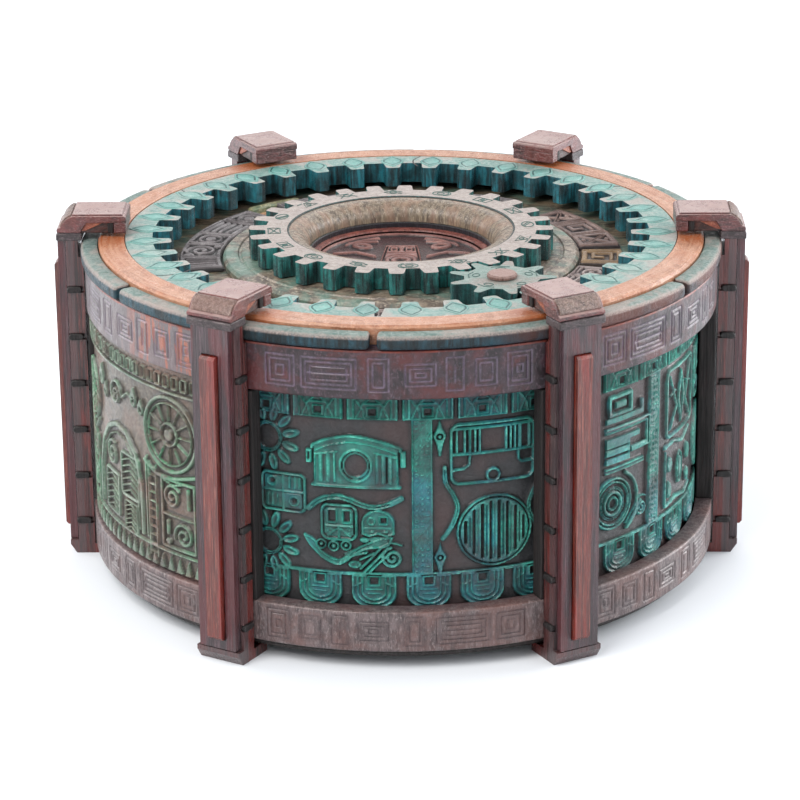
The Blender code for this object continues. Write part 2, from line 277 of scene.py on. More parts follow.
def stainedWood(name, dark, middle, pale, rough=0.5, stretch=(1, 1, 0.05), scale=900.0, coat=0.0,
                bloom=None, bloomAmount=0.0, litTopTone=None, speckle=None, lineTone=None, stripes=None,
                nearArms=None, inward=None, topEdge=None, grimeAndShade=0.45):
    # stained wood: streaks from dark to pale, blotches of another tone, an optional paler top side that is
    # painted light
    mat, w, shader = startFinish(name)
    grain = useGroup(w, grainGroup, Stretch=stretch, Scale=scale)
    wear = useGroup(w, wearGroup, Scale=160.0)
    fine = useGroup(w, wearGroup, Scale=430.0)
    coords = w.place()
    place = w.split(coords)
    colour = w.mix(grain["Streak"], tone(dark), tone(middle))
    colour = w.mix(w.times(grain["Pores"], 0.75), colour, tone(pale))
    if bloom:
        run = w.add("ShaderNodeMapping", Scale=(1.0, 1.0, 0.12 if stretch[2] < 0.1 else 1.0))
        w.tree.links.new(coords, run.inputs[0])
        seep = w.ramp(w.noise(run.outputs[0], 190.0 if stretch[2] < 0.1 else 60.0, 4.0, 0.62, 0.4), 0.44,
                      0.62)
        colour = w.mix(w.times(seep, bloomAmount), colour, tone(bloom))
    if litTopTone:
        # painted light: faces that look up turn towards the paler top tone
        upward = w.ramp(w.facing(), 0.55, 0.95)
        wornAndLit = w.mix(w.times(grain["Streak"], 0.45), tone(litTopTone), tone(middle))
        wornAndLit = w.mix(w.times(grain["Blotch"], 0.3), wornAndLit, tone(bloom or pale))
        colour = w.mix(w.times(upward, 0.92), colour, wornAndLit)
    if speckle:
        colour = w.mix(w.times(wear["Speck"], 0.5), colour, tone(speckle))
    if stripes:                  # slanting streaks on the left, where the stain ran
        lean = w.add("ShaderNodeMapping", Rotation=(0.0, 0.75, 0.0), Scale=(1.0, 1.0, 0.16))
        w.tree.links.new(coords, lean.inputs[0])
        streaks = w.ramp(w.noise(lean.outputs[0], 520.0, 2.0, 0.5, 0.4), 0.5, 0.6)
        left = w.ramp(place[0], -0.046, -0.062)
        near = w.sum("SUBTRACT", left, w.ramp(place[0], -0.070, -0.088), clamp=True)
        colour = w.mix(w.times(left, 0.7), colour, tone(stripes[0]))
        colour = w.mix(w.times(w.times(streaks, near), 0.75), colour, tone(stripes[1]))
    if nearArms:                 # darker, deeper orange wood beside the six arms, brushed along the ring
        bearing = w.sum("ARCTAN2", place[0], w.times(place[1], -1.0))
        flat = w.fromAxis(place)
        bent = w.add("ShaderNodeCombineXYZ", X=w.times(bearing, 0.006), Y=flat, Z=place[2])
        lines = w.ramp(w.noise(bent.outputs[0], 1100.0, 4.0, 0.6), 0.35, 0.68)
        colour = w.mix(w.times(lines, 0.55), colour, tone(pale))
        beat = w.times(w.sum("COSINE", w.times(bearing, 6.0)), -1.0)
        spot = w.times(w.ramp(beat, 0.3, 0.95), w.spread(lines, 0.95, 0.5))
        colour = w.mix(spot, colour, tone(nearArms))
    if inward:                   # another tone outside a radius, given in metres
        flat = w.fromAxis(place)
        colour = w.mix(w.times(w.ramp(flat, inward[1] - 0.0003, inward[1] + 0.0003), 0.6), colour,
                       tone(inward[0]))
    if topEdge:                  # bare wood showing along the top of a band
        bare = w.times(w.ramp(place[2], topEdge[1], topEdge[1] + 0.0004),
                     w.ramp(w.facing(), 0.5, 0.9, 1.0, 0.0))
        colour = w.mix(w.times(bare, w.spread(wear["Patch"], 0.35, 1.0)), colour, tone(topEdge[0]))
    if lineTone:
        carve = w.field("carve")
        edge = w.field("edge")
        cut = w.times(w.sum("SUBTRACT", 1.0, carve), w.spread(wear["Brush"], 0.35, 1.0), clamp=True)
        colour = w.mix(w.ramp(edge, 0.05, 0.6, 0.0, 0.45), colour, tone(dark))
        colour = w.mix(w.times(cut, 0.8), colour, tone(lineTone))
    # random darker brushed streaks and pale specks of dirt
    colour = w.mix(w.times(fine["Brush"], grimeAndShade * 0.8), colour, w.mix(0.5, colour, tone(dark)))
    colour = w.mix(w.times(fine["Speck"], grimeAndShade * 0.5), colour, tone(pale))
    settle(w, shader, colour, w.spread(grain["Streak"], rough + 0.12, rough - 0.1), coat, 0.2)
    height = w.sum("ADD", w.times(grain["Streak"], 0.7), w.times(grain["Pores"], -0.5))
    w.put(shader.inputs["Normal"], bumpOf(w, height, 0.45))
    return mat


def carvedPaint(name, groundDark, groundPale, paintDeep, paint, paintPale, rough=0.45, cover=1.0, moss=None,
                tint=None, tintAmount=0.0, gloss=0.35, grimeAndShade=0.9, fade=0.35, blush=None):
    # paint brushed over raised carving: the mesh says how high each spot is, where edges and hollows run. The
    # hollows get grime and painted shade
    mat, w, shader = startFinish(name)
    wear = useGroup(w, wearGroup, Scale=150.0)
    fine = useGroup(w, wearGroup, Scale=620.0)
    grain = useGroup(w, grainGroup, Stretch=(1, 1, 0.12), Scale=520.0)
    coords = w.place()
    carve = w.field("carve")
    edge = w.field("edge")
    hollow = w.field("hollow")
    wornAndLit = w.ramp(w.noise(coords, 62.0, 5.0, 0.62, 0.5), 0.47, 0.66)          # areas where the paint has gone
    shade = w.ramp(w.noise(coords, 118.0, 4.0, 0.6, 0.3), 0.36, 0.66)         # darker and lighter areas
    ground = w.mix(w.spread(wear["Brush"], 0.2, 0.85), tone(groundDark), tone(groundPale))
    ground = w.mix(w.times(grain["Streak"], 0.35), ground, tone(groundDark))
    if blush:
        ground = w.mix(w.times(w.ramp(w.noise(coords, 36.0, 3.0), 0.42, 0.62), 0.5), ground, tone(blush))
    lit = w.times(w.ramp(carve, 0.4, 0.85, 0.4, 0.92), w.spread(wear["Patch"], 0.45, 1.0))
    body = w.mix(lit, tone(paintDeep), tone(paint))
    if tint:
        body = w.mix(w.times(w.ramp(w.noise(coords, 30.0, 4.0, 0.6), 0.44, 0.6), tintAmount), body,
                     tone(tint))
    streaky = w.times(fine["Brush"], w.ramp(wear["Brush"], 0.2, 1.0, 0.0, 1.0))
    gleam = w.times(w.times(streaky, shade), w.ramp(carve, 0.7, 1.0, 0.15, 0.8))
    body = w.mix(gleam, body, tone(paintPale))
    body = w.mix(w.times(fine["Speck"], 0.5), body, tone(moss or paintDeep))
    body = w.mix(w.times(w.sum("SUBTRACT", 1.0, shade), 0.5), body, tone(paintDeep))
    painted = w.ramp(w.sum("ADD", carve, w.times(w.sum("SUBTRACT", wear["Patch"], 0.5), 0.35)), 0.2, 0.5)
    thin = w.sum("SUBTRACT", cover, w.times(w.times(wornAndLit, fade), w.spread(fine["Patch"], 1.0, 1.6)),
                 clamp=True)
    colour = w.mix(w.times(painted, thin), ground, body)
    # paler raised edges: partly rubbed, dry-brushed paint, partly painted highlight
    rubbedAndLitEdge = w.times(w.ramp(edge, 0.25, 1.0), w.times(w.ramp(fine["Patch"], 0.2, 1.0, 0.0, 0.7), shade),
                   clamp=True)
    colour = w.mix(rubbedAndLitEdge, colour, tone(paintPale))
    colour = w.mix(w.times(w.times(fine["Speck"], wear["Speck"]), 0.55), colour, tone(groundDark))
    # darker in the hollows beside raised forms: partly grime, partly painted shade
    colour = w.mix(w.ramp(hollow, 0.08, 0.7, 0.0, grimeAndShade), colour, tone(groundDark))
    settle(w, shader, colour, w.spread(fine["Patch"], rough + 0.14, rough - 0.12), gloss, 0.22)
    height = w.sum("ADD", w.times(fine["Speck"], -0.6),
                   w.sum("ADD", w.times(fine["Brush"], 0.6), w.times(wear["Brush"], 0.7)))
    w.put(shader.inputs["Normal"], bumpOf(w, height, 0.65))
    return mat


def brushedPaint(name, side, sideDeep, top, topDeep, rough=0.45, speck="#2c6a60", speckAmount=0.5, tips=None,
                 tint=None, warm=None, dust=0.3, gloss=0.25):
    # painted wood that is paler where it faces up: partly dry brushing, partly painted light on the tops and
    # a painted highlight on the slopes
    mat, w, shader = startFinish(name)
    wear = useGroup(w, wearGroup, Scale=150.0)
    fine = useGroup(w, wearGroup, Scale=520.0)
    grain = useGroup(w, grainGroup, Stretch=(1, 1, 0.1), Scale=650.0)
    coords = w.place()
    place = w.split(coords)
    facing = w.facing()
    # painted light: faces that look up take the pale top colours, the sides the darker side colours
    upward = w.ramp(facing, 0.3, 0.85)
    sides = w.mix(w.times(grain["Streak"], w.spread(wear["Patch"], 0.4, 1.0)), tone(sideDeep), tone(side))
    if tint:
        sides = w.mix(w.times(w.ramp(w.noise(coords, 55.0, 3.0), 0.45, 0.62), 0.6), sides, tone(tint))
    if warm:                     # reddish wood showing through on the right
        sides = w.mix(w.times(w.ramp(place[0], warm[1], warm[1] + 0.03),
                            w.ramp(w.noise(coords, 48.0, 4.0), 0.38, 0.6, 0.25, 0.95)), sides, tone(warm[0]))
    sides = w.mix(w.times(fine["Speck"], dust), sides, tone(topDeep))
    tops = w.mix(wear["Brush"], tone(topDeep), tone(top))
    if tips:
        tops = w.mix(w.times(w.ramp(w.noise(coords, 75.0, 4.0, 0.65), 0.46, 0.6), 0.65), tops, tone(tips))
    tops = w.mix(w.times(w.times(fine["Speck"], w.spread(wear["Patch"], 0.5, 1.4)), speckAmount,
                       clamp=True), tops, tone(speck))
    tops = w.mix(w.times(fine["Brush"], 0.22), tops, tone(sideDeep))
    # painted highlight, with some dry brushing: sloping faces between side and top are lightened
    crown = w.sum("SUBTRACT", w.ramp(facing, 0.12, 0.4), w.ramp(facing, 0.72, 0.97))
    rim = w.times(crown, w.spread(fine["Brush"], 0.2, 0.8), clamp=True)
    colour = w.mix(rim, w.mix(upward, sides, tops), tone(tips or top))
    settle(w, shader, colour, w.spread(fine["Patch"], rough + 0.12, rough - 0.12), gloss, 0.25)
    shader.inputs["Specular IOR Level"].default_value = 0.35
    height = w.sum("ADD", w.times(fine["Brush"], 0.7), w.times(grain["Streak"], 0.6))
    w.put(shader.inputs["Normal"], bumpOf(w, height, 0.6))
    return mat


print("shader groups ready")

finishes = {
    "bandPlum": dict(dark="#160c10", middle="#37242d", pale="#56434d", bloom="#551714", bloomAmount=0.7,
                     rough=0.42, stretch=(1, 1, 0.6), scale=260.0, coat=0.2, speckle="#4a525f",
                     lineTone="#73657a",
                     stripes=("#6b6466", "#9c5338"), topEdge=("#7c2e1c", 0.1004)),
    "bandBrown": dict(dark="#3c3031", middle="#675858", pale="#8b7d7c", bloom="#6d443b", bloomAmount=0.45,
                      rough=0.4, stretch=(1, 1, 0.3), scale=500.0, coat=0.3, speckle="#7d7778",
                      lineTone="#372c31",
                      topEdge=("#8f4c28", 0.0186)),
    # near-black: painted shade of the gap beside each post
    "stile": dict(dark="#080303", middle="#150a09", pale="#261412", rough=0.7),
    "postRed": dict(dark="#160606", middle="#4d1816", pale="#7a433d", bloom="#6e170e", bloomAmount=0.6,
                    rough=0.3, stretch=(1, 1, 0.035), scale=800.0, coat=0.5, inward=("#4a4042", 0.1037)),
    "facePlum": dict(dark="#12070a", middle="#392128", pale="#69535a", bloom="#66161a", bloomAmount=0.45,
                     rough=0.3, stretch=(1, 1, 0.02), scale=900.0, coat=0.5),
    "stripRed": dict(dark="#3a0c06", middle="#6e2519", pale="#98594b", bloom="#80170c", bloomAmount=0.65,
                     rough=0.28, stretch=(1, 1, 0.03), scale=900.0, coat=0.55),
    "armPlum": dict(dark="#2a1012", middle="#613436", pale="#8f6a66", bloom="#742f26", bloomAmount=0.5,
                    rough=0.34, stretch=(0.35, 0.35, 1), scale=900.0, coat=0.4, litTopTone="#a58d88"),
    "armFront": dict(dark="#3a2823", middle="#7e645a", pale="#a8948a", bloom="#6a4034", bloomAmount=0.4,
                     rough=0.4, stretch=(1, 1, 1), scale=900.0, coat=0.35, speckle="#8a7658"),
    "lipPlum": dict(dark="#30181f", middle="#634249", pale="#8c7078", rough=0.32, stretch=(0.3, 0.3, 1),
                    scale=700.0, coat=0.4),
    "armCore": dict(dark="#1a0b0a", middle="#4a211b", pale="#6c4036", rough=0.4, stretch=(0.4, 0.4, 1),
                    scale=600.0, coat=0.3),
    "collarGrey": dict(dark="#1c1416", middle="#3f3234", pale="#66545a", rough=0.45, stretch=(0.5, 0.5, 1),
                       scale=800.0, coat=0.2, speckle="#7f7a72"),
    "wellRed": dict(dark="#4a1c18", middle="#7d4036", pale="#94604f", rough=0.45, stretch=(1, 1, 0.2),
                    scale=500.0, coat=0.15),
    "wellBlack": dict(dark="#0c0a0d", middle="#1d1a22", pale="#37323c", rough=0.4, stretch=(1, 1, 0.2),
                      coat=0.2),
    "armOrange": dict(dark="#66291b", middle="#955036", pale="#b9775a", rough=0.45, stretch=(0.5, 0.5, 1),
                      scale=600.0, coat=0.2),
    "baseBlack": dict(dark="#120d0c", middle="#241a17", pale="#33251f", rough=0.6),
    "innerPly": dict(dark="#7a5c3e", middle="#a07f58", pale="#ba9c72", rough=0.7, stretch=(0.2, 1, 1)),
    "copper": dict(dark="#7c492e", middle="#a87458", pale="#c19579", bloom="#a5633e", bloomAmount=0.45,
                   rough=0.36, stretch=(1, 0.5, 1), scale=420.0, coat=0.35, nearArms="#9a4d1d", grimeAndShade=0.3),
    "pegDark": dict(dark="#0a0707", middle="#171010", pale="#2b2020", rough=0.5),
    "pinBrown": dict(dark="#523831", middle="#7d6058", pale="#9c8078", rough=0.5, litTopTone="#937a74"),
    "floorOlive": dict(dark="#2e2822", middle="#6a5a48", pale="#9a8c74", bloom="#3f6b60", bloomAmount=0.6,
                       rough=0.5, stretch=(0.3, 1, 1), scale=320.0, speckle="#a5927a"),
    "pedestalOchre": dict(dark="#40352f", middle="#857666", pale="#b3a594", bloom="#4f8074", bloomAmount=0.65,
                          rough=0.45, stretch=(1, 1, 1), scale=200.0, speckle="#8f7a68", coat=0.2),
    "barOchre": dict(dark="#4e523c", middle="#8a8460", pale="#b3aa84", bloom="#4f7a60", bloomAmount=0.7,
                     rough=0.45, stretch=(1, 1, 1), scale=260.0, coat=0.2),
    "flatOrange": dict(dark="#7a4a2a", middle="#a8764c", pale="#c09a70", bloom="#6f6a4a", bloomAmount=0.4,
                       rough=0.45, stretch=(1, 1, 1), scale=260.0, coat=0.2),
    "funnelOchre": dict(dark="#46392f", middle="#827360", pale="#a89a86", bloom="#8d6c58", bloomAmount=0.5,
                        rough=0.42, stretch=(1, 1, 0.08), scale=700.0, speckle="#5c5248", coat=0.25),
}
looks = {name: stainedWood(name, **values) for name, values in finishes.items()}
looks["drumTeal"] = carvedPaint("drumTeal", "#0f1113", "#2f2f33", "#083a3a", "#1f9583", "#66d8c0", fade=0.4,
                                tint="#156084", tintAmount=0.5, gloss=0.4, blush="#44231f", moss="#0b4240")
looks["panelOlive"] = carvedPaint("panelOlive", "#2f2b25", "#706558", "#46614f", "#74907c", "#a9bba6",
                                  cover=0.7, moss="#2f8a6a", tint="#2f9a6a", tintAmount=0.85, fade=0.6,
                                  blush="#865f50", gloss=0.5)
looks["glyphGrey"] = carvedPaint("glyphGrey", "#151214", "#332c2e", "#4b4446", "#7b7476", "#a8a1a2", fade=0.2)
looks["glyphPink"] = carvedPaint("glyphPink", "#2b1f22", "#5a4a4a", "#7a6866", "#9c8c88", "#bcb0aa", fade=0.2)
looks["glyphBrown"] = carvedPaint("glyphBrown", "#1f1416", "#4a3634", "#5d4643", "#82685f", "#a4897c",
                                  fade=0.2)
looks["glyphOrange"] = carvedPaint("glyphOrange", "#2b1f1a", "#4c3a2e", "#6d543c", "#957750", "#bb9a6c",
                                   fade=0.2)
looks["dialBrown"] = carvedPaint("dialBrown", "#1d1013", "#4c282a", "#5f3430", "#8c5c54", "#bc9084", fade=0.3)
looks["ringTeal"] = brushedPaint("ringTeal", "#1f7684", "#06161b", "#9cb0aa", "#5f8882", tips="#b3a39d",
                                 speck="#1f5f5c", speckAmount=0.6)
looks["leafTeal"] = carvedPaint("leafTeal", "#1f4c4c", "#457a74", "#4f8a84", "#6ba69d", "#a5bab2", rough=0.45,
                                tint="#a39a94", tintAmount=0.5, grimeAndShade=0.85, moss="#235a57", fade=0.3)
looks["rimSlate"] = brushedPaint("rimSlate", "#1f4350", "#070b0d", "#8d9994", "#4f6d68", speck="#3f7f76",
                                 gloss=0.08,
                                 tint="#0f4654", tips="#a5948d", warm=("#55291f", 0.02), dust=0.2)
looks["sunPink"] = brushedPaint("sunPink", "#2b8480", "#08191c", "#b3a7a1", "#928681", speck="#6f8f86",
                                dust=0.45)
looks["pinionGreen"] = brushedPaint("pinionGreen", "#256462", "#0a2326", "#8a9a93", "#6d857e", tips="#98847e")
looks["lineTeal"] = brushedPaint("lineTeal", "#174c46", "#0d322f", "#215a52", "#12403a")
looks["lineDark"] = brushedPaint("lineDark", "#262b2b", "#14181a", "#2c3a3a", "#1a2424")

floorMat, floorWires, floorShader = startFinish("paleFloor")
floorTone = floorWires.mix(floorWires.ramp(floorWires.noise(
    floorWires.add("ShaderNodeTexCoord").outputs["Object"], 3.0), 0.3, 0.7, 0.0, 0.15),
    studio["floor"], (0.9, 0.9, 0.91))
floorWires.put(floorShader.inputs["Base Color"], floorTone)
floorShader.inputs["Roughness"].default_value = 0.7
floorMesh = bpy.data.meshes.new("studioFloor")
floorMesh.from_pydata([(-6, -6, 0), (6, -6, 0), (6, 6, 0), (-6, 6, 0)], [], [(0, 1, 2, 3)])
floorMesh.materials.append(floorMat)
floor = bpy.data.objects.new("studioFloor", floorMesh)
bpy.context.scene.collection.objects.link(floor)
print("finishes ready")


# pieces: how a mesh joins the scene, and drawings that become relief
def soften(piece, width):
    if width:
        bevel = piece.modifiers.new("softEdge", "BEVEL")
        bevel.width = width * mm
        bevel.segments = 3
        bevel.limit_method = "ANGLE"
        bevel.angle_limit = math.radians(32)


def addPiece(name, mesh, look, body, soft=None):
    # put a mesh in the scene with its finish, riding on one body
    mesh.materials.clear()
    for one in look if isinstance(look, list) else [look]:
        mesh.materials.append(looks[one])
    piece = bpy.data.objects.new(name, mesh)
    bpy.context.scene.collection.objects.link(piece)
    soften(piece, soft)
    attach(piece, body)
    return piece


def quadMesh(name, points, quads, smooth=50, **values):
    mesh = bpy.data.meshes.new(name)
    mesh.vertices.add(len(points))
    mesh.vertices.foreach_set("co", (points * mm).astype(np.float32).ravel())
    mesh.loops.add(quads.size)
    mesh.loops.foreach_set("vertex_index", quads.astype(np.int32).ravel())
    mesh.polygons.add(len(quads))
    mesh.polygons.foreach_set("loop_start", np.arange(0, quads.size, 4, dtype=np.int32))
    mesh.polygons.foreach_set("use_smooth", np.ones(len(quads), dtype=bool))
    mesh.update(calc_edges=True)
    for label, data in values.items():
        slot = mesh.attributes.new(label, "FLOAT", "POINT")
        slot.data.foreach_set("value", data.astype(np.float32).ravel())
    mesh.validate()
    mesh.set_sharp_from_angle(angle=math.radians(smooth))
    return mesh


def closedShell(name, outer, inner, round, fields):
    # outer and inner are grids of points. When round is True the columns meet, else both ends are closed
    rows, cols = outer.shape[:2]
    innerRows = inner.shape[0]
    points = np.concatenate([outer.reshape(-1, 3), inner.reshape(-1, 3)])
    front = np.arange(rows * cols).reshape(rows, cols)
    back = rows * cols + np.arange(innerRows * cols).reshape(innerRows, cols)
    last = cols if round else cols - 1
    here = np.arange(last)
    beside = (here + 1) % cols

    def strip(low, high):
        return np.stack([low[..., here], low[..., beside], high[..., beside], high[..., here]],
                        -1).reshape(-1, 4)

    quads = [strip(front[:-1], front[1:]), strip(back[:-1], back[1:])[:, ::-1],
             strip(back[0], front[0]), strip(front[-1], back[-1])]
    if not round:
        for col, way in ((0, 1), (cols - 1, -1)):
            ends = np.stack([back[:-1, col], front[:-1, col], front[1:, col], back[1:, col]], -1)
            quads.append(ends[:, ::way])
    quads = np.concatenate(quads)
    values = {label: np.concatenate([data.ravel(), np.zeros(innerRows * cols)]) for label,
              data in fields.items()}
    return quadMesh(name, points, quads, **values)


class Board:
    # a drawing of raised shapes on a flat sheet: x runs along it, y across it, both in mm
    def __init__(self, width, low, high, fine, round=False):
        self.width, self.round = width, round
        cols, rows = int(width * fine), int((high - low) * fine)
        self.x = np.arange(cols) / cols * width if round else np.linspace(0, width, cols)
        self.y = np.linspace(low, high, rows)
        self.height = np.zeros((rows, cols))
        self.soft = 1.15 / fine

    def stamp(self, motif, x=0.0, y=0.0, size=1.0, flip=1, top=1.0):
        for mark in motif:
            self.mark(mark, x, y, size, flip, top)

    def mark(self, mark, x, y, size=1.0, flip=1, top=1.0):
        kind, *rest = mark
        way, kind = kind.split(":") if ":" in kind else ("", kind)
        shape, halfWide, halfHigh, middle = outlines[kind](*rest)
        across = self.x - x - flip * middle[0] * size
        if self.round:
            across = (across + self.width / 2) % self.width - self.width / 2
        cols = np.nonzero(np.abs(across) <= halfWide * size + 1.5)[0]
        up = self.y - y - middle[1] * size
        rows = np.nonzero(np.abs(up) <= halfHigh * size + 1.5)[0]
        if not len(cols) or not len(rows):
            return
        u, v = np.meshgrid(across[cols] * flip / size, up[rows] / size)
        cover = np.clip(0.5 - shape(u, v) * size / self.soft, 0, 1)
        spot = np.ix_(rows, cols)
        if way == "cut":
            self.height[spot] = np.minimum(self.height[spot], 1 - cover)
        elif way == "groove":      # half as deep as a cut
            self.height[spot] = np.minimum(self.height[spot], 1 - 0.5 * cover)
        else:
            self.height[spot] = np.maximum(self.height[spot], cover * top * (0.56 if way == "low" else 1.0))

    def blur(self, values, times):
        for _ in range(times):
            for axis in (0, 1):
                if axis == 1 and self.round:
                    left, right = np.roll(values, 1, 1), np.roll(values, -1, 1)
                else:
                    padded = np.pad(values, [(1, 1) if axis == i else (0, 0) for i in (0, 1)], mode="edge")
                    left = padded[:-2, :] if axis == 0 else padded[:, :-2]
                    right = padded[2:, :] if axis == 0 else padded[:, 2:]
                values = (left + 2 * values + right) / 4
        return values

    def fields(self):
        # how high each point is, and how much it is an edge or a hollow beside one
        near = self.blur(self.height, 3)
        # edge feeds the rubbed paint and painted highlight on raised edges, hollow the grime and painted
        # shade beside them
        edge = np.clip((self.height - near) * 2.4, 0, 1)
        hollow = np.clip((self.blur(near, 7) - self.height) * 2.6, 0, 1)
        return {"carve": self.height, "edge": edge, "hollow": hollow}


def boxOutline(cx, cy, wide, high, corner=0.4):
    def gap(u, v):
        qx, qy = np.abs(u) - wide / 2 + corner, np.abs(v) - high / 2 + corner
        return np.hypot(np.maximum(qx, 0), np.maximum(qy, 0)) + np.minimum(np.maximum(qx, qy), 0) - corner
    return gap, wide / 2, high / 2, (cx, cy)


def frameOutline(cx, cy, wide, high, line=0.8, corner=0.6):
    gap, halfWide, halfHigh, middle = boxOutline(cx, cy, wide, high, corner)
    return lambda u, v: np.abs(gap(u, v) + line / 2) - line / 2, halfWide, halfHigh, middle


def ovalOutline(cx, cy, a, b, turn=0.0):
    c, s = math.cos(math.radians(turn)), math.sin(math.radians(turn))
    def gap(u, v):
        return (np.hypot((u * c + v * s) / a, (-u * s + v * c) / b) - 1) * min(a, b)
    return gap, max(a, b), max(a, b), (cx, cy)


def ringOutline(cx, cy, a, b, line=0.8, turn=0.0):
    gap, halfWide, halfHigh, middle = ovalOutline(cx, cy, a, b, turn)
    return lambda u, v: np.abs(gap(u, v) + line / 2) - line / 2, halfWide, halfHigh, middle


def lineOutline(line, *points):
    xs, ys = [p[0] for p in points], [p[1] for p in points]
    middle = ((min(xs) + max(xs)) / 2, (min(ys) + max(ys)) / 2)
    def gap(u, v):
        best = np.full(u.shape, 99.0)
        for (x0, y0), (x1, y1) in zip(points, points[1:]):
            x0, x1, y0, y1 = x0 - middle[0], x1 - middle[0], y0 - middle[1], y1 - middle[1]
            long = max((x1 - x0) ** 2 + (y1 - y0) ** 2, 1e-9)
            t = np.clip(((u - x0) * (x1 - x0) + (v - y0) * (y1 - y0)) / long, 0, 1)
            best = np.minimum(best, np.hypot(u - x0 - t * (x1 - x0), v - y0 - t * (y1 - y0)))
        return best - line / 2
    return gap, (max(xs) - min(xs)) / 2 + line, (max(ys) - min(ys)) / 2 + line, middle


def fillOutline(*points):
    # a filled many-sided shape
    xs, ys = [p[0] for p in points], [p[1] for p in points]
    middle = ((min(xs) + max(xs)) / 2, (min(ys) + max(ys)) / 2)
    edges = lineOutline(0.0, *points, points[0])[0]
    def gap(u, v):
        inside = np.zeros(u.shape, dtype=bool)
        for (x0, y0), (x1, y1) in zip(points, points[1:] + points[:1]):
            x0, x1, y0, y1 = x0 - middle[0], x1 - middle[0], y0 - middle[1], y1 - middle[1]
            if y0 != y1:
                cross = ((y0 > v) != (y1 > v)) & (u < (x1 - x0) * (v - y0) / (y1 - y0) + x0)
                inside ^= cross
        return np.where(inside, -1, 1) * edges(u, v)
    return gap, (max(xs) - min(xs)) / 2, (max(ys) - min(ys)) / 2, middle


def curve(*points, steps=5):
    # a smooth line through the points
    ends = [points[0], *points, points[-1]]
    found = []
    for p, q, r, t in zip(ends, ends[1:], ends[2:], ends[3:]):
        for i in range(steps):
            k = i / steps
            found.append(tuple(0.5 * (2 * b + (c - a) * k + (2 * a - 5 * b + 4 * c - d) * k * k
                                      + (3 * b - a - 3 * c + d) * k ** 3) for a, b, c, d in zip(p, q, r, t)))
    return found + [points[-1]]


outlines = {"box": boxOutline, "frame": frameOutline, "oval": ovalOutline, "ring": ringOutline,
            "line": lineOutline, "fill": fillOutline}


def arc(cx, cy, a, b, start, end, count=14):
    # points along part of an oval, from one angle to another
    return [(cx + a * math.cos(math.radians(start + (end - start) * i / count)),
             cy + b * math.sin(math.radians(start + (end - start) * i / count))) for i in range(count + 1)]


def coil(cx, cy, radius, turns, start=0.0, count=30, way=1):
    # points along a spiral that ends near its middle
    points = []
    for i in range(count + 1):
        r, angle = radius * (1 - i / count * 0.85), math.radians(start) + way * math.tau * turns * i / count
        points.append((cx + r * math.cos(angle), cy + r * math.sin(angle)))
    return points


def wrapBoard(name, board, radius, depth, inner, lead, ends=None, round=0.0):
    # the board bent round the main axis. lead is the bearing of x = 0, in degrees. ends carries the wall on,
    # plain, to two more heights, and round softens the top and bottom edges
    bearing = np.radians(lead) + board.x / radius
    nearEdge = np.minimum(board.y - board.y[0], board.y[-1] - board.y)
    curl = round * (1 - np.sqrt(np.clip(1 - (1 - np.clip(nearEdge / max(round, 1e-6), 0, 1)) ** 2, 0, 1)))
    out = radius - depth * (1 - board.height) - curl[:, None]
    z, fields = board.y, board.fields()
    if ends:
        out = np.concatenate([np.full((1, len(board.x)), radius - depth), out,
                              np.full((1, len(board.x)), radius - depth)])
        z = np.concatenate([[ends[0]], z, [ends[1]]])
        fields = {label: np.pad(data, [(1, 1), (0, 0)]) for label, data in fields.items()}
    side, front = np.sin(bearing), -np.cos(bearing)
    outer = np.stack([out * side, out * front, np.repeat(z[:, None], len(board.x), 1)], -1)
    rows = z[[0, -1]] if board.round else z
    wall = np.stack([np.tile(inner * side, (len(rows), 1)), np.tile(inner * front, (len(rows), 1)),
                     np.repeat(rows[:, None], len(board.x), 1)], -1)
    return closedShell(name, outer, wall, board.round, fields)


def layBoard(name, board, start, end, top, depth, bottom):
    # the board laid flat as a sector: x runs over the bearings from start to end, y is the radius
    bearing = np.radians(start + (board.x - board.x[0]) / board.width * (end - start))
    z = top - depth * (1 - board.height)
    grid = np.repeat(board.y[:, None], len(board.x), 1)
    face = np.stack([grid * np.sin(bearing), -grid * np.cos(bearing), z], -1)
    rows = board.y[[0, -1]] if board.round else board.y
    under = np.repeat(rows[:, None], len(board.x), 1)
    floorGrid = np.stack([under * np.sin(bearing), -under * np.cos(bearing), np.full(under.shape, bottom)],
                         -1)
    return closedShell(name, face[::-1], floorGrid[::-1], board.round,
                       {label: data[::-1] for label, data in board.fields().items()})


# carved motifs, in mm about their own middle
def rosette(hubWide, hubHigh, petals):
    marks = [("ring", 0, 0, hubWide, hubHigh, 1.0), ("cut:ring", 0, 0, hubWide - 0.45, hubHigh - 0.45, 0.25)]
    for i in range(petals):
        angle = 360 * i / petals + 13
        c, s = math.cos(math.radians(angle)), math.sin(math.radians(angle))
        marks.append(("oval", c * (hubWide + 3.0), s * (hubHigh + 3.0), 2.7, 1.35, angle))
        marks.append(("groove:oval", c * (hubWide + 3.0), s * (hubHigh + 3.0), 1.9, 0.55, angle))
    return marks


def cupPath(half, top, bottom):
    # down one side, round the bottom and up the other
    return [(-half, top), (-half, bottom + half * 0.72),
            *arc(0, bottom + half * 0.72, half, half * 0.72, 180, 360, 10),
            (half, top)]


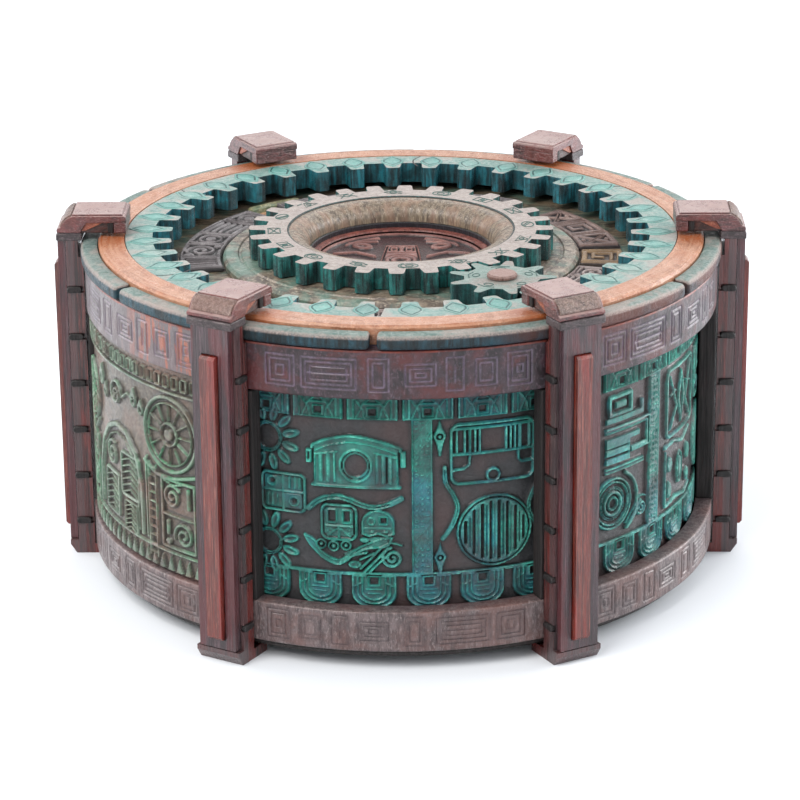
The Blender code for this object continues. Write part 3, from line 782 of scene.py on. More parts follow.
quarterGlyph = [
    ("low:box", 0, 0, 14.6, 12.6, 2.0), ("frame", 0, 0, 14.6, 12.6, 0.8, 2.0),
    ("cut:frame", 0, 0, 12.8, 10.8, 0.35, 1.2),
    ("line", 0.7, (0, -5.6), (0, 5.6)), ("line", 0.7, (-6.6, 0.4), (6.6, 0.4)),
    ("ring", -3.5, 3.2, 1.8, 1.7, 0.6), ("cut:oval", -3.5, 3.2, 0.8, 0.8),
    ("box", 2.2, 3.2, 0.8, 4.0), ("box", 3.8, 3.2, 0.8, 4.0), ("box", 5.3, 3.2, 0.6, 4.0),
    ("box", -5.0, -2.7, 0.8, 4.0), ("box", -3.4, -2.7, 0.8, 4.0), ("box", -1.8, -2.7, 0.7, 4.0),
    ("ring", 3.5, -2.6, 1.8, 1.7, 0.6), ("cut:oval", 3.5, -2.6, 0.8, 0.8),
    ("line", 0.5, (1, -0.6), (5.8, -0.6)),
]
temple = [
    ("low:fill", (-13, -6.2), (13, -6.2), (12.8, 5.6), (9.5, 7.3), (4, 9.0), (-1.4, 9.7), (-7, 8.9),
     (-12.8, 6.3)),
    ("line", 0.9, *curve((-13.2, 5.4), (-12.8, 6.3), (-8, 8.4), (-1.4, 9.6), (6, 8.4), (12.8, 6.2),
                         (13.2, 5.2))),
    ("line", 0.6, *curve((-12.2, 4.6), (-8, 6.5), (-1.4, 7.7), (6, 6.6), (12.2, 4.4))),
    ("line", 0.7, (-12.4, 3.4), (-5.6, 4.6)), ("line", 0.7, (12.4, 3.2), (5.6, 4.6)),
    ("box", -14.3, 2.7, 1.8, 4.4), ("box", 14.2, 2.5, 1.6, 5.0), ("cut:box", -14.3, 2.7, 0.5, 2.6),
    ("line", 0.7, (-12.4, 3.6), (-12.4, -5.8)), ("line", 0.7, (12.4, 3.4), (12.4, -5.8)),
    ("line", 1.1, (-10.6, 3.2), (-10.6, -4.8)), ("line", 1.1, (-8.4, 3.6), (-8.4, -4.8)),
    ("line", 0.8, (-6.4, 4.0), (-6.4, -4.8)),
    ("line", 1.1, (10.4, 3.2), (10.4, -4.8)), ("line", 1.1, (8.2, 3.6), (8.2, -4.8)),
    ("line", 0.8, (6.3, 4.0), (6.3, -4.8)),
    ("cut:line", 0.35, (-9.5, 3.2), (-9.5, -4.8)), ("cut:line", 0.35, (9.3, 3.2), (9.3, -4.8)),
    ("ring", 0, 0.4, 5.2, 5.4, 1.0), ("cut:ring", 0, 0.4, 4.3, 4.5, 0.3), ("cut:oval", 0, 0.4, 3.4, 3.6),
    ("line", 1.0, (-13.2, -6.3), (13.2, -6.3)), ("groove:line", 0.4, (-12.6, -5.3), (12.6, -5.3)),
]
wave = [("line", 1.7, *curve((-14.2, -2.2), (-11.4, 0.2), (-8.4, 1.6), (-4.4, 2.0), (-1, 1.1), (2, -0.1),
                             (6, -0.8),
         (10.4, 0.2), (14, 2.0))), ("groove:line", 0.5,
                                    *curve((-13.2, -1.4), (-10.8, 0.6), (-8, 1.7), (-4.4, 2.0),
         (-1, 1.1), (2, -0.1), (6, -0.8), (10.4, 0.2)))]
windowGlyph = [
    ("low:box", 0, 0, 11.4, 11.8, 2.6), ("frame", 0, 0, 11.4, 11.8, 0.8, 2.6),
    ("cut:frame", 0, 0, 9.6, 10.0, 0.35, 1.8),
    ("frame", -2.1, 2.0, 3.4, 4.8, 0.6, 0.5), ("cut:box", -2.1, 2.0, 2.1, 3.5),
    ("frame", 2.4, 1.9, 3.2, 4.6, 0.6, 0.5),
    ("cut:box", 2.4, 1.9, 1.9, 3.2), ("line", 0.7, (-4.2, -1.1), (4.2, -1.1)),
    ("line", 0.7, (-3.4, -4.4), (0, -1.6), (3.4, -4.4)),
    ("line", 0.6, (0, -1.6), (0, -4.8)), ("ring", -2.7, -2.7, 0.9, 0.9, 0.4),
    ("ring", 2.7, -2.7, 0.9, 0.9, 0.4),
]
archGlyph = [
    ("low:fill", *arc(0, 0, 4.9, 4.4, 0, 180), (-4.9, -3.4), (-2.6, -4.2), (0, -3.2), (2.6, -4.2),
     (4.9, -3.4)),
    ("line", 0.8, (4.6, -3.2), *arc(0, 0, 4.6, 4.1, 0, 180), (-4.6, -3.2), (-2.6, -3.9), (0, -3.0),
     (2.6, -3.9), (4.6, -3.2)),
    ("frame", 1.7, 1.0, 3.0, 3.0, 0.6, 0.4), ("cut:box", 1.7, 1.0, 1.7, 1.7),
    ("ring", -2.0, 0.8, 1.3, 1.5, 0.6),
    ("line", 0.6, (-4.0, -1.4), (4.0, -1.4)), ("box", 2.2, -2.5, 1.8, 0.7), ("oval", -1.7, -2.5, 0.6, 0.5),
]
canoe = [
    ("low:fill", (-14.6, 5.2), (-11.0, 3.4), (-9.6, 0.6), (-7.2, -1.6), (-3.8, -2.4), (-0.6, -0.6),
     (4.6, 1.6), (10, 2.6),
     (12.2, 5.6), (7.4, 5.8), (4.0, 5.2), (6.0, 3.8), (1.0, 1.6), (-2.6, 0.2), (-1.2, -2.2), (-4.2, -3.8),
     (-8.2, -2.4), (-11.6, 0.6), (-13.6, 3.2)),
    ("line", 0.8, *curve((-14.4, 5.0), (-13.2, 2.8), (-11.2, 0.4), (-8.0, -2.2), (-4.2, -3.5), (-1.4, -2.2),
                         (1.2, 0.2),
     (5.2, 2.0), (10.6, 2.8), (12.2, 5.4))),
    ("line", 0.6, *curve((-14.2, 5.0), (-11.2, 3.4), (-9.8, 0.8), (-7.0, -1.3), (-3.8, -2.2), (-0.8, -0.4),
                         (3.0, 2.4),
     (7.8, 4.6), (12.0, 5.6))),
    ("ring", -9.2, 2.6, 1.7, 1.7, 0.6), ("oval", -9.2, 2.6, 0.6, 0.6), ("ring", -5.4, 2.2, 1.8, 1.8, 0.7),
    ("oval", -5.4, 2.2, 0.7, 0.7), ("ring", -1.6, 2.6, 1.7, 1.7, 0.6), ("oval", -1.6, 2.6, 0.6, 0.6),
    ("oval", 4.0, 4.6, 1.4, 0.9), ("low:oval", 1.0, -3.4, 2.0, 1.2), ("ring", 1.0, -3.4, 2.0, 1.2, 0.6),
    ("line", 0.9, *curve((-3.4, -2.8), (0.4, -0.6), (4.6, 0.6))), ("line", 0.7, (2.6, -1.8), (6.8, 0.4)),
]
scrollTail = [("line", 1.1, *coil(0, 0, 3.3, 1.9, 100)),
              ("line", 0.9, *curve((-8.6, -4.8), (-5.6, -1.6), (-1.4, 3.2))),
              ("line", 0.8, *curve((-7.2, -5.0), (-4.4, -2.0), (-2.0, 0.4))),
              ("line", 0.7, *curve((-3.2, 3.6), (-0.4, 4.8), (2.8, 4.0))),
              ("line", 0.8, *curve((-9.6, -3.6), (-6.6, -0.4), (-3.4, 3.2)))]
pendant = [("fill", (0, 5.6), (0.7, 3.0), (2.0, 0.6), (1.0, -2.0), (0.3, -5.4), (-0.3, -5.4), (-1.0, -2.0),
            (-2.0, 0.6), (-0.7, 3.0)), ("cut:ring", 0, 0.4, 1.0, 1.0, 0.4), ("oval", 0, -5.2, 0.5, 0.6)]
altar = [
    ("frame", 0, 0, 26.6, 19.6, 0.9, 3.0), ("line", 0.9, (-12.0, 8.0), (12.0, 8.0)),
    ("line", 0.9, (-12.6, 0.0), (12.6, 0.0)), ("box", -11.2, 4.0, 0.8, 7.0), ("box", -8.8, 4.0, 0.8, 7.0),
    ("box", -7.2, 4.0, 0.8, 7.4), ("box", -5.6, 4.0, 0.8, 7.4), ("box", -4.2, 4.0, 0.8, 7.4),
    ("box", 4.0, 4.0, 0.8, 7.4), ("box", 5.4, 4.0, 0.8, 7.4), ("box", 6.8, 4.0, 0.8, 7.4),
    ("box", 8.4, 4.0, 1.2, 7.4), ("box", 11.4, 4.0, 1.0, 7.0),
    ("line", 0.8, (-12.6, -5.0), (-9.0, -4.6), (-7.4, -3.4), (-7.2, -0.4)),
    ("line", 0.8, (12.6, -4.2), (9.0, -4.2), (8.0, -3.2), (8.0, -0.4)),
    ("ring", 0, -7.2, 2.3, 2.3, 0.8), ("cut:oval", 0, -7.2, 1.2, 1.2),
]
drumSun = [("oval", 0, 0, 11.8, 11.4), ("cut:ring", 0, 0, 11.1, 10.7, 0.35)] + [
    ("cut:box", (i - 3.5) * 2.6, 0, 0.85, 2 * math.sqrt(max(10.0 ** 2 - ((i - 3.5) * 2.6) ** 2, 4)) - 1.0)
    for i in range(8)] + [
    ("groove:box", (i - 3) * 2.6, 0, 0.45, 2 * math.sqrt(max(9.8 ** 2 - ((i - 3) * 2.6) ** 2, 4)) - 2.0)
    for i in range(7)]
snake = [("line", 1.3, *curve((-2.0, 11.4), (-1.6, 6.6), (0.6, 2.6), (2.0, -1.6), (0.4, -6.8),
                              (-2.6, -11.2))),
         ("groove:line", 0.45, *curve((-2.0, 10.6), (-1.6, 6.6), (0.6, 2.6), (2.0, -1.6), (0.4, -6.8)))]
maskGlyph = [
    ("low:fill", (6.4, 4.9), (-6.4, 4.9), *cupPath(6.4, 4.9, -5.4)[1:-1]),
    ("line", 0.8, *cupPath(6.1, 4.8, -5.2)), ("line", 0.65, *cupPath(4.7, 4.8, -3.9)),
    ("line", 0.6, *cupPath(3.4, 4.8, -2.7)),
    ("line", 0.6, (-6.0, 4.7), (-2.4, 4.7)), ("line", 0.6, (2.4, 4.7), (6.0, 4.7)),
    ("line", 0.5, (-2.4, 0.6), (2.4, 0.6)),
    ("frame", 0, 3.1, 3.8, 3.4, 0.6, 0.4), ("cut:box", 0, 3.1, 2.5, 2.1),
    ("line", 0.5, (-1.6, -0.9), (1.6, -0.9)),
    ("line", 0.6, (-5.6, 1.4), (-3.4, 2.6)), ("line", 0.6, (5.6, 1.4), (3.4, 2.6)),
]
friezeUnit = [
    ("low:box", 0, 0, 14.6, 6.8, 0.4), ("line", 0.75, (-7.2, 3.3), (7.2, 3.3)),
    ("line", 0.75, (-7.2, -3.3), (7.2, -3.3)),
    ("line", 0.8, (-7.2, -3.4), (-7.2, 3.4)), ("line", 0.8, (7.2, -3.4), (7.2, 3.4)),
    ("line", 0.7, (-5.6, -3.2), (-5.6, 3.2)), ("line", 0.7, (5.6, -3.2), (5.6, 3.2)),
    ("line", 0.75, (-5.2, 3.1), (-2.8, -0.4), (-2.3, -3.1)),
    ("line", 0.75, (5.2, 3.1), (2.8, -0.4), (2.3, -3.1)),
    ("line", 0.65, (-4.8, -3.1), (-2.9, 1.2), (-0.8, 3.1)),
    ("line", 0.65, (4.8, -3.1), (2.9, 1.2), (0.8, 3.1)),
    ("line", 0.65, (-2.4, 1.5), (2.4, 1.5)), ("frame", 0, -1.2, 3.6, 3.4, 0.6, 0.3),
    ("cut:box", 0, -1.2, 2.3, 2.1),
]
frets = [
    ("frame", -17.5, 12.0, 11.0, 7.0, 1.4, 0.5), ("box", -17.5, 12.0, 5.0, 2.2),
    ("fill", (-24, 8.4), (-8.0, 8.4), (-8.0, 11.2), (-6.4, 11.2), (-6.4, 6.4), (-24, 6.4)),
    ("fill", (-24, 5.2), (-2.8, 5.2), (-2.8, -4.8), (-12.6, -4.8), (-12.6, -2.8), (-5.0, -2.8), (-5.0, 3.2),
     (-24, 3.2)),
    ("fill", (-24, 1.8), (-8.4, 1.8), (-8.4, 0.0), (-13.0, 0.0), (-13.0, -6.6), (-24, -6.6)),
    ("cut:line", 0.4, (-24, 4.2), (-3.8, 4.2), (-3.8, -3.8)), ("cut:line", 0.4, (-24, -1.6), (-14, -1.6)),
    ("cut:line", 0.4, (-24, -4.2), (-14, -4.2)), ("box", -15.0, -8.6, 18.0, 2.0),
    ("cut:line", 0.35, (-24, -8.6), (-6.4, -8.6)),
]
wheelGlyph = [("ring", 0, 0, 9.2, 9.2, 2.2), ("cut:ring", 0, 0, 8.2, 8.2, 0.35),
              ("ring", 0, 0, 5.9, 5.9, 2.6),
              ("cut:ring", 0, 0, 4.9, 4.9, 0.4), ("cut:ring", 0, 0, 5.6, 5.6, 0.3),
              ("ring", 0, 0, 2.6, 2.6, 0.9)]
leafGlyph = [
    ("frame", 0, 0, 24, 23, 1.2, 3.0), ("fill", (0, 9.0), (3.2, 0), (0, -9.0), (-3.2, 0)),
    ("cut:fill", (0, 6.4), (1.6, 0), (0, -6.4), (-1.6, 0)),
    ("line", 1.0, (-9.5, 9.0), (-4.0, -2.0), (-9.0, -8.5)),
    ("line", 1.0, (9.5, 9.0), (4.0, -2.0), (9.0, -8.5)), ("line", 0.8, (-9.0, 2.4), (-5.2, 3.4)),
    ("line", 0.8, (9.0, 2.4), (5.2, 3.4)),
]
seedGlyph = [
    ("line", 1.2, (-12, 9.6), (-5, 10.2), (2, 8.0), (9, 10.4)), ("oval", 0, 0, 2.6, 5.6),
    ("cut:ring", 0, 0, 1.8, 4.6, 0.35),
    ("oval", -8.4, 3.2, 1.8, 2.6), ("oval", -8.4, -5.2, 1.5, 2.8), ("oval", 8.6, 2.4, 1.8, 2.8),
    ("line", 1.0, (-11.4, 8), (-11.4, -9)),
    ("line", 1.2, (-11, -10), (-3, -9.0), (5, -10.6), (11, -9)), ("oval", 8.4, -5.4, 1.6, 2.4),
]


# where the six pillars stand, as bearings: 0 is the front, 90 the right side
pillars = {"front_left": -30, "front_right": 30, "right": 90, "rear_right": 150, "rear_left": -150,
           "left": -90}
drumOut = reach("cipher_drum")
bandOut = reach("upper_band")
print("drawing board ready")


def turned(name, profile, look, body, steps, ripple=None):
    # a (radius, height) profile spun round the main axis. ripple(bearing, i) moves one point outwards
    bearing = np.arange(steps) / steps * math.tau
    r = np.array([p[0] for p in profile])[:, None] + np.zeros(steps)
    if ripple:
        for i in range(len(profile)):
            r[i] += ripple(bearing, i)
    z = np.array([p[1] for p in profile])[:, None] + np.zeros(steps)
    points = np.stack([r * np.sin(bearing), -r * np.cos(bearing), z], -1)
    count = len(profile)
    index = np.arange(count * steps).reshape(count, steps)
    here, beside = np.arange(steps), (np.arange(steps) + 1) % steps
    above = np.roll(index, -1, 0)
    quads = np.stack([index[:, here], index[:, beside], above[:, beside], above[:, here]], -1).reshape(-1, 4)
    return addPiece(name, quadMesh(name, points.reshape(-1, 3), quads, smooth=35), look, body)


def meshFrom(bm, name, bearing=None):
    # finishes a drawing made in mm, turned to its bearing
    bmesh.ops.recalc_face_normals(bm, faces=bm.faces)
    for v in bm.verts:
        v.co *= mm
    if bearing is not None:
        bmesh.ops.rotate(bm, verts=bm.verts, matrix=Matrix.Rotation(math.radians(bearing), 3, "Z"))
    mesh = bpy.data.meshes.new(name)
    bm.to_mesh(mesh)
    bm.free()
    return mesh


def crossPiece(name, profile, half, bearing, looksUsed, body, edges=None, soft=0.4, shift=0.0):
    # a (radius, height) profile given a width across it, of half to each side
    bm = bmesh.new()
    left = [bm.verts.new((shift - half, -r, z)) for r, z in profile]
    right = [bm.verts.new((shift + half, -r, z)) for r, z in profile]
    bm.faces.new(left)
    bm.faces.new(right[::-1])
    for i in range(len(profile)):
        j = (i + 1) % len(profile)
        face = bm.faces.new((left[j], left[i], right[i], right[j]))
        if edges:
            face.material_index = edges[i]
    mesh = meshFrom(bm, name, bearing)
    piece = addPiece(name, mesh, looksUsed, body, soft)
    for polygon in mesh.polygons:
        polygon.use_smooth = True
    mesh.set_sharp_from_angle(angle=math.radians(30))
    return piece


def refinish(node, look, soft=None):
    # a CAD piece whose shape stays, with a rounded edge and a better finish
    piece = bpy.data.objects[node]
    if not piece.material_slots:
        piece.data.materials.append(looks[look])
    for slot in piece.material_slots:
        slot.link = "OBJECT"
        slot.material = looks[look]
    soften(piece, soft)


# cipher drum: seven scenes of raised carving between upright dividers
drumLook = {"scenes": 7, "depth": 1.25, "fine": 2.9, "low": 17.6, "high": 86.4, "lead": 5.3, "divider": -1.25,
            "dividerWidth": 6.2, "masks": 36, "middle": 53.0, "wall": 5,
            "edgeLines": ((85.6, 0.4), (28.9, 0.35))}


def dividerMarks():
    # an upright strip filled with small signs
    marks = [("low:box", 0, 0, drumLook["dividerWidth"], 49.4, 0.4)]
    for side in (-1, 1):
        marks.append(("line", 0.55, (side * 2.85, -24.5), (side * 2.85, 24.5)))
    for row in range(27):
        y = -23.6 + row * 1.82
        for column in range(3):
            x, pick = (column - 1) * 1.7, (row * 5 + column * 7 + row // 3) % 6
            marks.append([("ring", x, y, 0.75, 0.6, 0.4), ("box", x, y, 1.2, 0.5, 0.1),
                          ("line", 0.45, (x - 0.5, y - 0.6), (x + 0.5, y + 0.6)),
                          ("box", x, y, 0.5, 1.3, 0.1),
                          ("line", 0.45, (x - 0.6, y + 0.5), (x, y - 0.5), (x + 0.6, y + 0.5)),
                          ("oval", x, y, 0.55, 0.45)][pick])
    return marks


def carveDrum():
    around = math.tau * drumOut
    board = Board(around, drumLook["low"], drumLook["high"], drumLook["fine"], round=True)
    wide = around / drumLook["scenes"]
    templeSide = lambda x, flip: (
        board.stamp(temple, x + 0.4 * flip, 62.7, 1.0, flip), board.stamp(wave, x, 50.9, 1.0, flip),
        board.stamp(windowGlyph, x - 4.9 * flip, 44.9, 1.0, flip),
        board.stamp(archGlyph, x + 6.9 * flip, 44.9, 1.0, flip),
        board.stamp(canoe, x - 1.2 * flip, 35.0, 1.0, flip),
        board.stamp(scrollTail, x + 11.2 * flip, 34.0, 1.0, flip))
    altarSide = lambda x, flip: (
        board.stamp(altar, x, 66.2, 1.0, flip), board.stamp(drumSun, x + 0.5 * flip, 41.3, 1.0, flip),
        board.stamp(snake, x - 12.9 * flip, 50.9, 1.0, flip),
        board.stamp(snake, x + 13.2 * flip, 49.3, 0.92, -flip),
        board.stamp(pendant, x - 16.3 * flip, 71.8, 1.0, flip),
        board.stamp(pendant, x - 16.3 * flip, 33.4, 0.95, flip))
    for i in range(drumLook["scenes"]):
        x = drumLook["divider"] + i * wide
        board.stamp(dividerMarks(), x, drumLook["middle"])
        kind = (1, 2, 3, 1, 2, 3, 0)[i]
        if kind == 0:      # temples either side of two rosettes
            for flip, centre in ((1, x + wide - 20.2), (-1, x + 19.4)):
                templeSide(centre, flip)
            centre = x + wide - 47.3
            board.stamp(rosette(4.7, 4.9, 12), centre, 69.8)
            board.stamp(quarterGlyph, centre + 4.8, 52.8)
            board.stamp(quarterGlyph, centre - 10.2, 52.8, 0.9, -1)
            board.stamp(rosette(4.4, 4.4, 12), centre - 0.2, 36.4)
        elif kind == 1:    # altar and ribbed disc, then stepped frets and a wheel
            altarSide(x + 21.6, 1)
            board.stamp(windowGlyph, x + 48.4, 64.0, 1.15)
            board.stamp(archGlyph, x + 48.6, 49.6, 1.3, -1)
            board.stamp(seedGlyph, x + 49.0, 36.0, 0.55)
            board.stamp(frets, x + wide + 0.2, 60.5)
            board.stamp(wheelGlyph, x + wide - 20.4, 41.0, 0.92)
            board.mark(("line", 1.2, *arc(0, 0, 10.5, 10.5, -58, 62)), x + wide - 19.4, 40.4)
            board.stamp(scrollTail, x + wide - 6.6, 36.0, 0.8)
        elif kind == 2:    # star leaf, seeds and slanting bands
            board.stamp(leafGlyph, x + 19.6, 64.4)
            board.stamp(seedGlyph, x + 19.2, 41.0, 1.0)
            board.stamp(drumSun, x + 47.6, 42.4, 0.95)
            board.stamp(altar, x + 48.2, 66.0, 0.9, -1)
            board.stamp(leafGlyph, x + 70.6, 64.4, 0.84, -1)
            board.stamp(rosette(4.4, 4.4, 12), x + 71.4, 40.2)
        else:              # mirrored altar and temple
            altarSide(x + wide - 21.6, -1)
            templeSide(x + 21.0, -1)
            board.stamp(rosette(4.2, 4.2, 12), x + 43.4, 64.0)
            board.stamp(quarterGlyph, x + 44.4, 46.0, 0.86)
    for i in range(drumLook["masks"]):
        board.stamp(friezeUnit, 0.6 + i * around / drumLook["masks"], 81.3)
        board.stamp(maskGlyph, 0.6 + i * around / drumLook["masks"], 23.3, 1.04)
        board.mark(("line", 0.7, (-1.2, 5.2), (1.2, 5.2)), 0.6 + (i + 0.5) * around / drumLook["masks"], 23.3)
    for place, half in drumLook["edgeLines"]:
        board.height = np.maximum(board.height, np.where(np.abs(board.y - place) < half, 0.9, 0.0)[:, None])
    low, high = level("cipher_drum")
    mesh = wrapBoard("carvedDrum", board, drumOut, drumLook["depth"], drumOut - drumLook["wall"],
                     drumLook["lead"], (low, high))
    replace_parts(addPiece("carvedDrum", mesh, "drumTeal", "drum"), "cipher_drum")


carveDrum()
print("drum carved")


# engraved bands above and below the windows
bandLook = {"fine": 3.2, "depth": 0.32, "line": 0.42, "wall": 5.25, "round": 0.7, "lowerTop": 19.0,
            "boxGap": 1.35, "corner": 0.5}


def nested(wide, high, count):
    # boxes one inside another
    gap, line, corner = bandLook["boxGap"], bandLook["line"], bandLook["corner"]
    return [("cut:frame", 0, 0, wide - 2 * gap * i, high - 2 * gap * i, line, corner) for i in range(count)]


# the repeat along a band, as (place, width, height, nested boxes), and the mark in the middle of some
keyMarks = [(-34.6, 9.3, 9.8, 2), (-19.8, 16.8, 9.8, 3), (-5.0, 6.4, 10.6, 2), (7.3, 9.4, 7.0, 2),
            (17.4, 5.5, 10.6, 1),
            (26.7, 6.8, 8.6, 2), (37.0, 7.9, 10.6, 2)]


keyHearts = [(17.4, "line", 0.5, (0, -2.6), (0, 2.6)), (-19.8, "line", 0.5, (-6.2, 0), (6.2, 0)),
             (37.0, "frame", 0, 0, 2.2, 2.8, 0.4, 0.2), (-34.6, "frame", 0, 0, 2.8, 3.4, 0.4, 0.2),
             (7.3, "frame", 0, 0, 3.4, 1.8, 0.4, 0.2)]


def engrave(name, node, z, look, way, tall):
    around = math.tau * bandOut
    board = Board(around, z[0], z[1], bandLook["fine"], round=True)
    board.height[:] = 1.0
    centre = (z[0] + z[1]) / 2
    for bay in range(6):
        start = bay * around / 6
        for place, wide, high, rings in keyMarks:
            board.stamp(nested(wide, high * tall, rings), start + way * place, centre)
        for place, kind, *rest in keyHearts:
            board.stamp([("cut:" + kind, *rest)], start + way * place, centre)
    mesh = wrapBoard(name, board, bandOut, bandLook["depth"], bandOut - bandLook["wall"], 0.0, None,
                     round=bandLook["round"])
    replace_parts(addPiece(name, mesh, look, "frame"), node)


lowerTop = bandLook["lowerTop"]
engrave("engravedUpperBand", "upper_band", level("upper_band"), "bandPlum", 1, 1.0)
engrave("engravedLowerBand", "lower_casing", (level("lower_casing")[0], lowerTop), "bandBrown", -1, 0.92)

# the stiles behind the pillars, part of the casing, near-black as painted shade in the gap beside each post
stileLook = {"width": 17.0, "fine": 0.7, "gap": 0.3}
for name, bearing in pillars.items():
    wall = Board(stileLook["width"], lowerTop - 0.1, level("upper_band")[0] - stileLook["gap"],
                 stileLook["fine"])
    wall.height[:] = 1.0
    wall.x = wall.x - stileLook["width"] / 2
    mesh = wrapBoard("stile_" + name, wall, bandOut, 0.0, bandOut - bandLook["wall"], bearing)
    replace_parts(addPiece("stile_" + name, mesh, "stile", "frame", 0.5), "lower_casing")
print("bands engraved")


# fixed carved panels that close two of the bays
panelLook = {"depth": 1.15, "fine": 3.4, "half": 42.6, "out": 99.5, "wall": 4.3, "round": 0.3, "teeth": 22}
feather = [("frame", 0, 0, 12.4, 15.0, 1.0, 1.6)] + [
    ("line", 0.7, (-5.2, -6.4 + i * 2.1), (0, -4.4 + i * 2.1), (5.2, -6.4 + i * 2.1)) for i in range(6)]
ladder = [("line", 0.8, (-1.9, -15), (-1.9, 15)), ("line", 0.8, (1.9, -15), (1.9, 15))] + [
    ("line", 0.6, (-1.9, -14 + i * 2.8), (1.9, -14 + i * 2.8)) for i in range(11)]
dialWheel = [("ring", 0, 0, 14.4, 14.4, 1.3), ("ring", 0, 0, 11.8, 11.8, 0.6), ("ring", 0, 0, 4.6, 4.6, 0.9),
             ("oval", 0, 0, 2.2, 2.2)] + [
    ("line", 0.7, (5.4 * math.cos(math.radians(a)), 5.4 * math.sin(math.radians(a))),
     (11.2 * math.cos(math.radians(a)), 11.2 * math.sin(math.radians(a)))) for a in range(0, 360, 30)]
scrollBlock = [
    ("frame", 0, 0, 15.6, 23.0, 1.0, 1.2), ("line", 1.0, *coil(-2.6, 5.6, 4.0, 1.7, 40)),
    ("box", 4.6, 6.4, 1.4, 7.0),
    ("line", 0.9, (-6.4, -0.4), (6.4, -0.4)), ("line", 1.0, *coil(2.2, -6.2, 4.2, 1.8, 200, way=-1)),
    ("box", -4.8, -4.6, 1.3, 5.0), ("oval", -4.8, -9.2, 1.2, 1.0),
    ("line", 0.7, (-6, 10.4), (-2, 9.6), (2, 10.6)),
]
drop = [("fill", (0, 3.2), (1.5, 0.6), (1.3, -1.4), (0, -2.6), (-1.3, -1.4), (-1.5, 0.6)),
        ("cut:oval", 0, -0.6, 0.6, 0.9)]


def carvePanel(name, node, bearing, flip):
    half, out = panelLook["half"], panelLook["out"]
    low, high = level(node)
    board = Board(2 * half, low, high, panelLook["fine"])
    board.x = board.x - half
    for i in range(panelLook["teeth"]):                   # small teeth along the top and the bottom
        board.mark(("frame", 0, 0, 3.0, 4.4, 0.6, 0.9), -half + 2 + i * 3.95, high - 4.0)
        board.mark(("fill", (-1.5, -2.4), (1.5, -2.4), (0, 2.4)), -half + 2 + i * 3.95, low + 3.4)
    board.mark(("line", 0.9, (-half, 0), (half, 0)), 0, high - 7.4)
    board.mark(("line", 0.8, (-half, 0), (half, 0)), 0, low + 7.0)
    place = lambda motif, x, y, size=1.0, way=1: board.stamp(motif, flip * x, y, size, flip * way)
    place([("line", 1.6, (-20.7, 28.6), (-20.2, 40.8), (-16.4, 50.6), (-10.2, 56.8), (-3.6, 59.4),
            (3.4, 58.4),
            (9.2, 53.2), (12.4, 44.0), (12.6, 28.6)), ("line", 0.6, (-18.4, 29), (-18.0, 40.2), (-14.6, 49.0),
            (-9.0, 54.4), (-3.4, 56.6), (2.8, 55.8), (7.6, 51.4), (10.4, 43.4), (10.6, 29))], 0, 0)
    place(feather, 5.4, 44.6)
    place(feather, -8.4, 35.6, 0.96, -1)
    place(feather, 5.2, 31.0, 0.7)
    place([("line", 0.9, *coil(0, 0, 4.4, 1.8, 60))], -7.8, 48.4)
    place([("line", 0.9, (0, -13), (0, 13))], 15.4, 41.5)
    place(ladder, 18.6, 38.0)
    place(dialWheel, 27.2, 64.6, 0.86)
    place(scrollBlock, 30.6, 39.0)
    place([("line", 1.2, (14.6, 53.4), (20.5, 50.6), (28.0, 50.4), (38.0, 53.0), (42.0, 55.0))], 0, 0)
    place(dialWheel, -31.0, 62.4, 0.7, -1)
    place(scrollBlock, -31.4, 38.0, 0.98, -1)
    place([("line", 1.2, (-42, 52.4), (-34, 50.0), (-27, 50.8), (-22.4, 54.6))], 0, 0)
    place(drop, 9.0, 71.4, 1.2)
    place(drop, 13.2, 69.4, 1.0, -1)
    place(drop, -16.4, 71.4, 1.3)
    place(drop, -12.2, 67.8, 1.0)
    place([("line", 1.0, *coil(0, 0, 4.6, 1.6, 10)), ("line", 0.8, (4.6, 0), (8.4, 2.6), (12.0, 1.6))], -3.4,
          69.4)
    mesh = wrapBoard(name, board, out, panelLook["depth"], out - panelLook["wall"], bearing, None,
                     round=panelLook["round"])
    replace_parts(addPiece(name, mesh, "panelOlive", "frame"), node)


carvePanel("carvedPanelLeft", "left_carved_panel", -60, 1)
carvePanel("carvedPanelRear", "rear_carved_panel", 120, -1)
print("panels carved")


